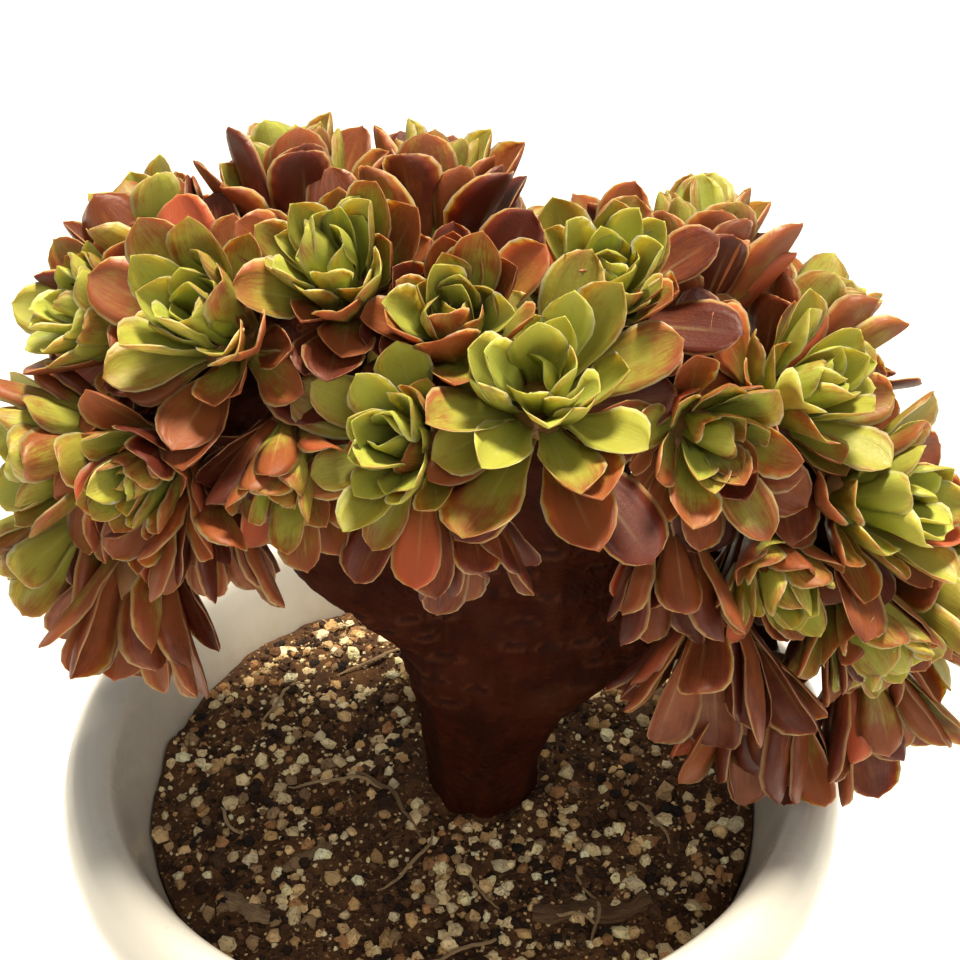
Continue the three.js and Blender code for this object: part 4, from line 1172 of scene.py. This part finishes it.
def redness_and_shade_of(age, redness_and_shade, other):
    """How far a leaf has reddened: with age and its head's redness, strayed by a draw. Painted shade takes the
    oldest leaves, under the rosettes, on to deep maroon.
    """
    old = smooth_step(0.35, 1.05, age)
    # painted shade: the oldest leaves, under the modelled ones, are pushed far past full redness, to deep
    # maroon
    grown = old * mix(0.35, 0.6, redness_and_shade) + redness_and_shade * mix(0.25, 0.5, age) + 2.2 * np.maximum(age - 1, 0)
    return np.clip(grown + 0.35 * (other - 0.5) * (0.4 + old), 0, 1.3)


# ---- stage -----------------------------------------------------------------------------------------------

CAMERA_AT = (7.2, -301.3, 440.6)
CAMERA_PITCH = 35.5
CAMERA_LENS = 60
SENSOR = 36
SUN_FROM = (0.12, 0.12, 1.0)
SUN = {"angle": 0.25, "colour": (1.0, 0.9, 0.72)}
FILL = {"at": (0.25, -0.85, 0.95), "aim": (0, 0, 0.26), "size": 0.6, "colour_of": (1.0, 0.93, 0.82)}
SKY = (1.0, 0.95, 0.88, 1)
FLOOR_SLAB = [(0, -0.02), (4000, -0.02), (4000, -20), (0, -20)]  # just under the pot's foot
FLOOR_SIDES = 96


def area_light(name, at, aim, size, power, colour_of):
    data = bpy.data.lights.new(name, "AREA")
    data.shape, data.size, data.energy, data.color = "DISK", size, power, colour_of
    lamp = bpy.data.objects.new(name, data)
    bpy.context.scene.collection.objects.link(lamp)
    lamp.location = at
    lamp.rotation_euler = (Vector(aim) - Vector(at)).to_track_quat("-Z", "Y").to_euler()


def build_stage(settings):
    """A wide pale floor, warm soft-edged sunlight from above, a weak fill and an even sky."""
    points, faces = turned(FLOOR_SLAB, FLOOR_SIDES)
    mesh = new_mesh("floor", points * MM, *[f[:, ::-1] for f in faces])
    floor = bpy.data.objects.new("floor", mesh)
    bpy.context.scene.collection.objects.link(floor)
    mesh.materials.append(floor_material(settings))
    data = bpy.data.lights.new("sun", "SUN")
    data.energy, data.angle, data.color = settings.sun, SUN["angle"], SUN["colour"]
    sun = bpy.data.objects.new("sun", data)
    bpy.context.scene.collection.objects.link(sun)
    sun.rotation_euler = Vector(SUN_FROM).to_track_quat("Z", "Y").to_euler()
    area_light("fill", power=settings.fill, **FILL)
    world = bpy.data.worlds.new("even_sky")
    world.use_nodes = True
    sky = world.node_tree.nodes["Background"]
    sky.inputs["Color"].default_value = SKY
    sky.inputs["Strength"].default_value = settings.sky
    scene = bpy.context.scene
    scene.world = world
    scene.view_settings.view_transform = "Standard"
    lens = bpy.data.cameras.new("camera")
    lens.lens, lens.sensor_width = CAMERA_LENS, SENSOR
    camera = bpy.data.objects.new("camera", lens)
    scene.collection.objects.link(camera)
    camera.location = [c * MM for c in CAMERA_AT]
    camera.rotation_euler = (np.radians(90 - CAMERA_PITCH), 0, 0)
    scene.camera = camera


# ---- operators, panel and registration -------------------------------------------------------------------

class AEONIUM_OT_pot(bpy.types.Operator):
    """Build the glazed pot"""
    bl_idname = "aeonium.pot"
    bl_label = "Pot"

    def execute(self, context):
        build_pot(context.scene.aeonium_pot)
        return {"FINISHED"}


class AEONIUM_OT_mix(bpy.types.Operator):
    """Build the potting mix with its grit, crumbs and roots"""
    bl_idname = "aeonium.mix"
    bl_label = "Potting mix"

    def execute(self, context):
        build_mix(context.scene.aeonium_mix)
        return {"FINISHED"}


class AEONIUM_OT_stem(bpy.types.Operator):
    """Build the trunk and its arms"""
    bl_idname = "aeonium.stem"
    bl_label = "Stem"

    def execute(self, context):
        build_stem(context.scene.aeonium_stem)
        return {"FINISHED"}


class AEONIUM_OT_heads(bpy.types.Operator):
    """Build the leafy heads"""
    bl_idname = "aeonium.heads"
    bl_label = "Leafy heads"

    def execute(self, context):
        settings = context.scene.aeonium_leaf
        material = leaf_material(settings)
        for name, leaf in grow_leaves().items():
            build_head(name, leaf, material, settings)
        return {"FINISHED"}


class AEONIUM_OT_stage(bpy.types.Operator):
    """Set up the floor, the light and the camera"""
    bl_idname = "aeonium.stage"
    bl_label = "Stage"

    def execute(self, context):
        build_stage(context.scene.aeonium_stage)
        return {"FINISHED"}


OPERATORS = (AEONIUM_OT_pot, AEONIUM_OT_mix, AEONIUM_OT_stem, AEONIUM_OT_heads, AEONIUM_OT_stage)
SETTINGS = {
    "aeonium_pot": PotSettings,
    "aeonium_mix": MixSettings,
    "aeonium_stem": StemSettings,
    "aeonium_leaf": LeafSettings,
    "aeonium_stage": StageSettings,
}


class AEONIUM_PT_panel(bpy.types.Panel):
    """The pieces of the potted aeonium and their settings"""
    bl_idname = "AEONIUM_PT_panel"
    bl_label = "Potted aeonium"
    bl_space_type = "VIEW_3D"
    bl_region_type = "UI"
    bl_category = "Aeonium"

    def draw(self, context):
        for operator, (key, group) in zip(OPERATORS, SETTINGS.items()):
            box = self.layout.box()
            box.operator(operator.bl_idname)
            for name in group.__annotations__:
                box.prop(getattr(context.scene, key), name)


def register():
    for kind in (*SETTINGS.values(), *OPERATORS, AEONIUM_PT_panel):
        bpy.utils.register_class(kind)
    for key, group in SETTINGS.items():
        setattr(bpy.types.Scene, key, PointerProperty(type=group))


def unregister():
    for key in SETTINGS:
        delattr(bpy.types.Scene, key)
    for kind in (AEONIUM_PT_panel, *OPERATORS, *SETTINGS.values()):
        bpy.utils.unregister_class(kind)


def main():
    register()
    bpy.ops.aeonium.pot()
    bpy.ops.aeonium.mix()
    bpy.ops.aeonium.stem()
    bpy.ops.aeonium.heads()
    bpy.ops.aeonium.stage()


if __name__ == "__main__":
    main()
